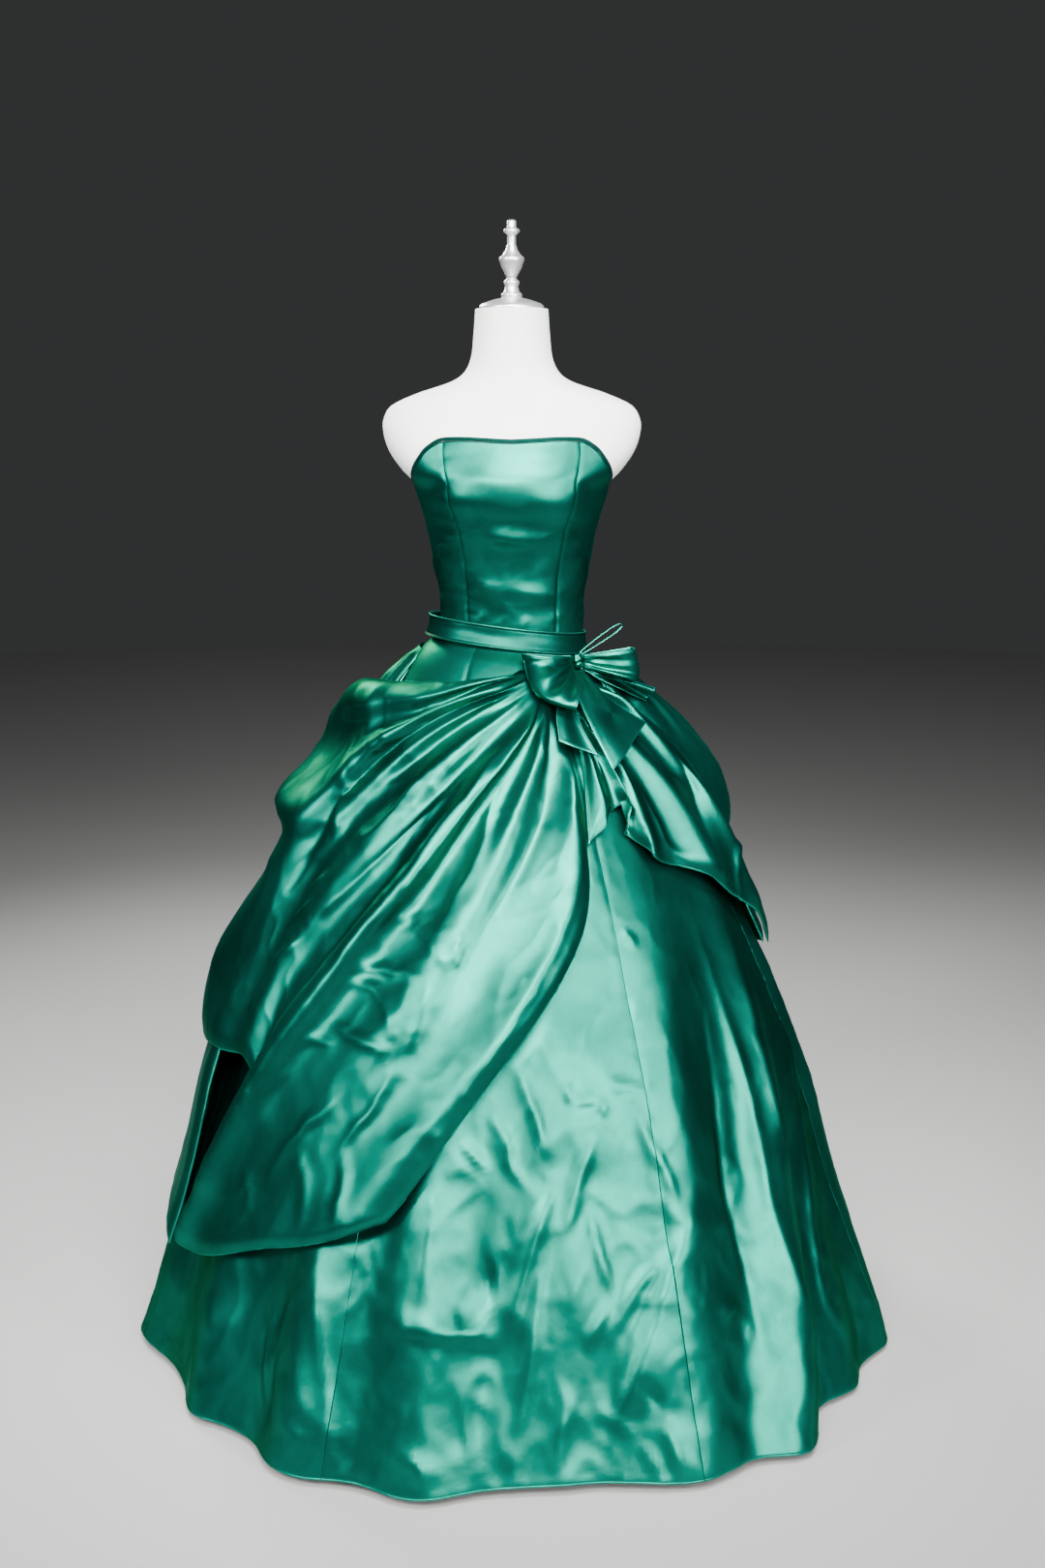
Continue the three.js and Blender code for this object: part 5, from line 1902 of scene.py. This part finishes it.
class Graph:
    """The node tree of one material."""

    def __init__(self, name: str) -> None:
        """Starts a material that holds one Principled shader.

        Args:
            name: Name of the material.
        """
        self.material = bpy.data.materials.new(name)
        self.material.use_nodes = True
        self.tree = self.material.node_tree
        self.shader = self.tree.nodes["Principled BSDF"]

    def read(self, kind: str, output: Union[int, str], settings: dict, inputs: dict) -> Value:
        """Adds a node and reads one of its outputs.

        Args:
            kind: Type of the node.
            output: The output, by name or number.
            settings: Its settings, which are set first.
            inputs: Values or links of its sockets, by name or number.

        Returns:
            The output's value.
        """
        made = self.tree.nodes.new(kind)
        for key, value in settings.items():
            setattr(made, key, value)
        for key, value in inputs.items():
            self.put(made.inputs[key], value)
        return Value(self, made.outputs[output])

    def put(self, socket: bpy.types.NodeSocket, value: object) -> None:
        """Links a value to a socket, or sets a number or colour on it.

        Args:
            socket: The socket.
            value: What it gets.
        """
        if isinstance(value, Value):
            self.tree.links.new(value.socket, socket)
        else:
            socket.default_value = value

    def noise(self, scale: float, detail: float, place: Value, rough: float = 0.5) -> Value:
        """Smooth noise from 0 to 1."""
        inputs = {"Vector": place, "Scale": scale, "Detail": detail, "Roughness": rough}
        return self.read("ShaderNodeTexNoise", "Fac", {}, inputs)

    def place(self, *stretch: float) -> Value:
        """Object coordinates in metres, stretched."""
        at = self.read("ShaderNodeTexCoord", "Object", {}, {})
        return self.read("ShaderNodeMapping", "Vector", {}, {"Vector": at, "Scale": stretch or (1, 1, 1)})

    def cloth_place(self, *stretch: float) -> Value:
        """The cloth's own flat coordinates in metres, stretched."""
        at = self.read("ShaderNodeUVMap", "UV", {"uv_map": "cloth"}, {})
        return self.read("ShaderNodeMapping", "Vector", {}, {"Vector": at, "Scale": stretch})

    def attribute(self, name: str) -> Value:
        """A number stored on the mesh."""
        return self.read("ShaderNodeAttribute", "Fac", {"attribute_name": name}, {})

    def mix_colour(self, share: Value, first: object, second: object) -> Value:
        """A mix of two colours."""
        return self.read("ShaderNodeMix", 2, {"data_type": "RGBA"}, {0: share, 6: first, 7: second})

    def between(self, value: Value, low: float, high: float) -> Value:
        """A value taken from the span low to high, to 0 to 1, and held there."""
        inputs = {"Value": value, "From Min": low, "From Max": high}
        return self.read("ShaderNodeMapRange", 0, {"clamp": True}, inputs)

    def bump(self, height: Value, distance: float) -> Value:
        """A bumped normal from a height of 0 to 1 and its depth in metres."""
        inputs = {"Height": height, "Distance": distance, "Strength": 1.0}
        return self.read("ShaderNodeBump", "Normal", {}, inputs)

    def finish(self, **sockets: object) -> bpy.types.Material:
        """Sets the shader's own sockets.

        Args:
            sockets: Their values, with _ for a space in a name.

        Returns:
            The material.
        """
        for key, value in sockets.items():
            self.put(self.shader.inputs[key.replace("_", " ")], value)
        return self.material


@dataclass(frozen=True)
class SatinFinish:
    """Heavy satin: long floating threads that shine, over a deeper ground.

    Args:
        name: Name of the material.
        deep: Colour of the ground.
        light: Colour where the threads catch the light.
        edge: Painted highlight colour of a rolled hem, lighter than the satin itself, standing in for the
            light that the hem's rounded rim catches.
        roughness: How soft its highlights are.
        metallic: How much of its colour is in its highlights.
        glint: Tint of the rest of its shine.
    """

    name: str
    deep: tuple
    light: tuple
    edge: tuple
    roughness: float
    metallic: float
    glint: tuple = (0.01, 0.3, 0.24, 1.0)

    def material(self) -> bpy.types.Material:
        """Builds the material.

        Returns:
            The material.
        """
        graph = Graph(self.name)
        thread = graph.noise(1.0, 2.0, graph.cloth_place(2600, 140, 1))
        weft = graph.noise(1.0, 1.0, graph.cloth_place(160, 1900, 1))
        cloud = graph.noise(9.0, 3.0, graph.place())
        crinkle = graph.noise(70.0, 3.0, graph.place(1, 1, 0.7), 0.55)
        hem = graph.attribute("hem")
        tone = graph.between(0.55 * cloud + 0.25 * thread + 0.2 * crinkle, 0.3, 0.7)
        colour = graph.mix_colour(tone, self.deep, self.light)
        stitch = graph.between(hem, 0.5, 0.62) * (1 - graph.between(hem, 0.62, 0.74))
        # rolled is a painted highlight: within a few millimetres of a rolled hem the colour is mixed towards
        # the lighter edge colour.
        rolled = graph.between(hem, 0.66, 0.95)
        height = 0.4 * thread + 0.25 * weft + 0.9 * crinkle - 1.6 * stitch
        return graph.finish(
            Base_Color=graph.mix_colour(0.75 * rolled, colour, self.edge),
            Roughness=self.roughness - 0.03 + 0.05 * cloud + 0.03 * thread + 0.05 * stitch,
            Metallic=self.metallic,
            Normal=graph.bump(height, 0.00022),
            Specular_IOR_Level=0.5,
            Specular_Tint=self.glint,
            Anisotropic=0.3,
        )


@dataclass(frozen=True)
class CoverFinish:
    """The form's fine knitted cover."""

    name: str = "form_cover"
    colour: tuple = (0.93, 0.94, 0.9, 1)
    shade: tuple = (0.86, 0.88, 0.84, 1)

    def material(self) -> bpy.types.Material:
        """Builds the material.

        Returns:
            The material.
        """
        graph = Graph(self.name)
        cloud = graph.noise(7.0, 3.0, graph.place())
        knit = graph.noise(900.0, 2.0, graph.place(1, 1, 0.45))
        tone = graph.between(0.7 * cloud + 0.3 * knit, 0.35, 0.65)
        return graph.finish(
            Base_Color=graph.mix_colour(tone, self.shade, self.colour),
            Roughness=0.6 + 0.12 * knit,
            Normal=graph.bump(knit, 0.00012),
            Sheen_Weight=0.2,
            Sheen_Roughness=0.5,
        )


@dataclass(frozen=True)
class MetalFinish:
    """Polished plated metal, with the faint marks of turning and handling."""

    name: str = "polished_metal"
    colour: tuple = (0.86, 0.86, 0.85, 1)
    worn: tuple = (0.66, 0.65, 0.63, 1)

    def material(self) -> bpy.types.Material:
        """Builds the material.

        Returns:
            The material.
        """
        graph = Graph(self.name)
        rings = graph.noise(1.0, 2.0, graph.place(6, 6, 1500))
        marks = graph.between(graph.noise(60.0, 4.0, graph.place()), 0.5, 0.8)
        return graph.finish(
            Base_Color=graph.mix_colour(0.5 * marks, self.colour, self.worn),
            Roughness=0.3 + 0.12 * marks + 0.05 * rings,
            Metallic=0.82,
            Normal=graph.bump(rings, 0.00004),
        )


@dataclass(frozen=True)
class PaintFinish:
    """Black paint on the steel of the stand, scuffed a little."""

    name: str = "stand_paint"
    colour: tuple = (0.02, 0.02, 0.022, 1)
    scuffed: tuple = (0.09, 0.09, 0.09, 1)

    def material(self) -> bpy.types.Material:
        """Builds the material.

        Returns:
            The material.
        """
        graph = Graph(self.name)
        grain = graph.noise(500.0, 2.0, graph.place())
        scuff = graph.between(graph.noise(25.0, 5.0, graph.place(), 0.65), 0.6, 0.75)
        return graph.finish(
            Base_Color=graph.mix_colour(0.6 * scuff, self.colour, self.scuffed),
            Roughness=0.42 + 0.2 * scuff + 0.06 * grain,
            Normal=graph.bump(grain, 0.00008),
        )


@dataclass(frozen=True)
class FloorFinish:
    """The plain pale studio floor."""

    name: str = "studio_floor"
    colour: tuple = (0.4, 0.4, 0.39, 1)
    worn: tuple = (0.384, 0.384, 0.3744, 1)

    def material(self) -> bpy.types.Material:
        """Builds the material.

        Returns:
            The material.
        """
        graph = Graph(self.name)
        cloud = graph.noise(2.0, 3.0, graph.place())
        colour = graph.mix_colour(cloud, self.colour, self.worn)
        return graph.finish(Base_Color=colour, Roughness=0.75 + 0.1 * cloud)


# Each satin's edge colour is the painted highlight of its rolled hems.
EMERALD = SatinFinish(
    "emerald_satin",
    deep=(0.0003, 0.1, 0.07, 1),
    light=(0.0006, 0.178, 0.125, 1),
    edge=(0.02, 0.4, 0.3, 1),
    roughness=0.35,
    metallic=0.98,
)
BELT_EMERALD = SatinFinish(
    "belt_satin",
    deep=(0.0006, 0.045, 0.032, 1),
    light=(0.001, 0.08, 0.057, 1),
    edge=(0.03, 0.45, 0.34, 1),
    roughness=0.34,
    metallic=0.9,
)
DARK_BINDING = SatinFinish(
    "neckline_binding",
    deep=(0.0005, 0.012, 0.009, 1),
    light=(0.001, 0.02, 0.015, 1),
    edge=(0.002, 0.03, 0.022, 1),
    roughness=0.42,
    metallic=0.3,
)


# The studio


@dataclass(frozen=True)
class SoftLight:
    """A soft rectangular light.

    Args:
        name: Name of the light.
        place: Where it stands, in metres.
        aim: The point it is turned to.
        size: Its width and height.
        power: Its power in watts.
        spread: Angle in degrees over which it shines.
    """

    name: str
    place: tuple
    aim: tuple
    size: tuple
    power: float
    spread: float

    def build(self) -> bpy.types.Object:
        """Makes the light.

        Returns:
            The light.
        """
        data = bpy.data.lights.new(self.name, "AREA")
        data.shape = "RECTANGLE"
        data.size, data.size_y = self.size
        data.energy = self.power
        data.spread = math.radians(self.spread)
        made = bpy.data.objects.new(self.name, data)
        made.location = self.place
        x, y, z = (end - start for start, end in zip(self.place, self.aim))
        made.rotation_euler = (math.atan2(math.hypot(x, y), -z), 0, math.atan2(y, x) - math.pi / 2)
        bpy.context.collection.objects.link(made)
        return made


@dataclass
class Studio:
    """The pale floor, the soft lights and the camera.

    Args:
        camera_place: Where the camera stands, in metres.
        camera_pitch: Degrees that it looks down.
        lens: Its focal length in millimetres, on a sensor 36 mm wide.
        floor_radius: Radius of the floor.
        lights: The lights.
        air: Colour of the light that comes from all round.
        air_strength: Its strength.
    """

    camera_place: tuple = (0.016, -3.0, 1.450)
    camera_pitch: float = 11.0
    lens: float = 45.2
    floor_radius: float = 9
    lights: tuple = (
        SoftLight("key", (-0.4, -3.5, 2.9), (0, 0, 0.95), (2.6, 0.9), 74, 75),
        SoftLight("top", (0.4, -1.9, 3.5), (0.1, -0.2, 1.0), (1.8, 0.9), 34, 55),
        SoftLight("low", (1.5, -4.0, 1.6), (0.1, 0, 0.7), (1.0, 0.7), 12, 50),
        SoftLight("left", (-2.9, -2.7, 2.3), (0, 0, 0.7), (0.8, 1.3), 17, 60),
        SoftLight("right", (2.6, -3.0, 1.9), (0, 0, 0.8), (0.8, 2.0), 20, 60),
        SoftLight("back", (-2.2, 3.2, 3.0), (0, 0, 0.9), (1.6, 1.2), 60, 90),
    )
    air: tuple = (0.5, 0.52, 0.53, 1)
    air_strength: float = 0.07

    def camera(self) -> None:
        """Sets the camera at the photograph's view."""
        data = bpy.data.cameras.new("view")
        data.lens = self.lens
        data.sensor_width = 36
        made = bpy.data.objects.new("view", data)
        made.location = self.camera_place
        made.rotation_euler = (math.radians(90 - self.camera_pitch), 0, 0)
        bpy.context.collection.objects.link(made)
        bpy.context.scene.camera = made

    def floor(self) -> None:
        """Lays the floor."""
        bpy.ops.object.select_all(action="DESELECT")
        bpy.ops.mesh.primitive_circle_add(vertices=96, radius=self.floor_radius, fill_type="NGON")
        made = bpy.context.active_object
        made.name = "studio_floor"
        made.data.materials.append(FloorFinish().material())

    def set_up(self) -> None:
        """Sets up the whole studio."""
        self.camera()
        self.floor()
        for light in self.lights:
            light.build()
        world = bpy.data.worlds.new("studio")
        bpy.context.scene.world = world
        world.use_nodes = True
        background = world.node_tree.nodes["Background"]
        background.inputs["Color"].default_value = self.air
        background.inputs["Strength"].default_value = self.air_strength
        LOG.info("studio: floor, lights and camera")


def main() -> None:
    logging.basicConfig(level=logging.INFO, format="%(name)s: %(message)s")
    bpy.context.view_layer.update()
    Studio().set_up()
    crumple = Crumple(20)
    satin, belt_satin, binding = (kind.material() for kind in (EMERALD, BELT_EMERALD, DARK_BINDING))
    metal = MetalFinish().material()

    figure = Figure()
    form = DressForm(figure)
    form.body(CoverFinish().material())
    form.turned_piece("neck_cap", form.cap, 0.8, metal)
    form.turned_piece("finial", form.finial, 0.7, metal)
    form.stand(PaintFinish().material())

    bodice = Bodice(figure, crumple)
    skirt = Skirt(crumple)
    overskirt = Overskirt(skirt, crumple)
    bow = Bow(skirt, crumple)
    for cloth in (*bodice.pieces(), *skirt.pieces(), *overskirt.pieces(), *bow.pieces()):
        cloth.build("satin", satin, "satin")
    bow.knot_piece(satin)
    bodice.binding().build("band", binding, "binding")
    skirt.belt().build("band", belt_satin, "belt_satin")


if __name__ == "__main__":
    main()
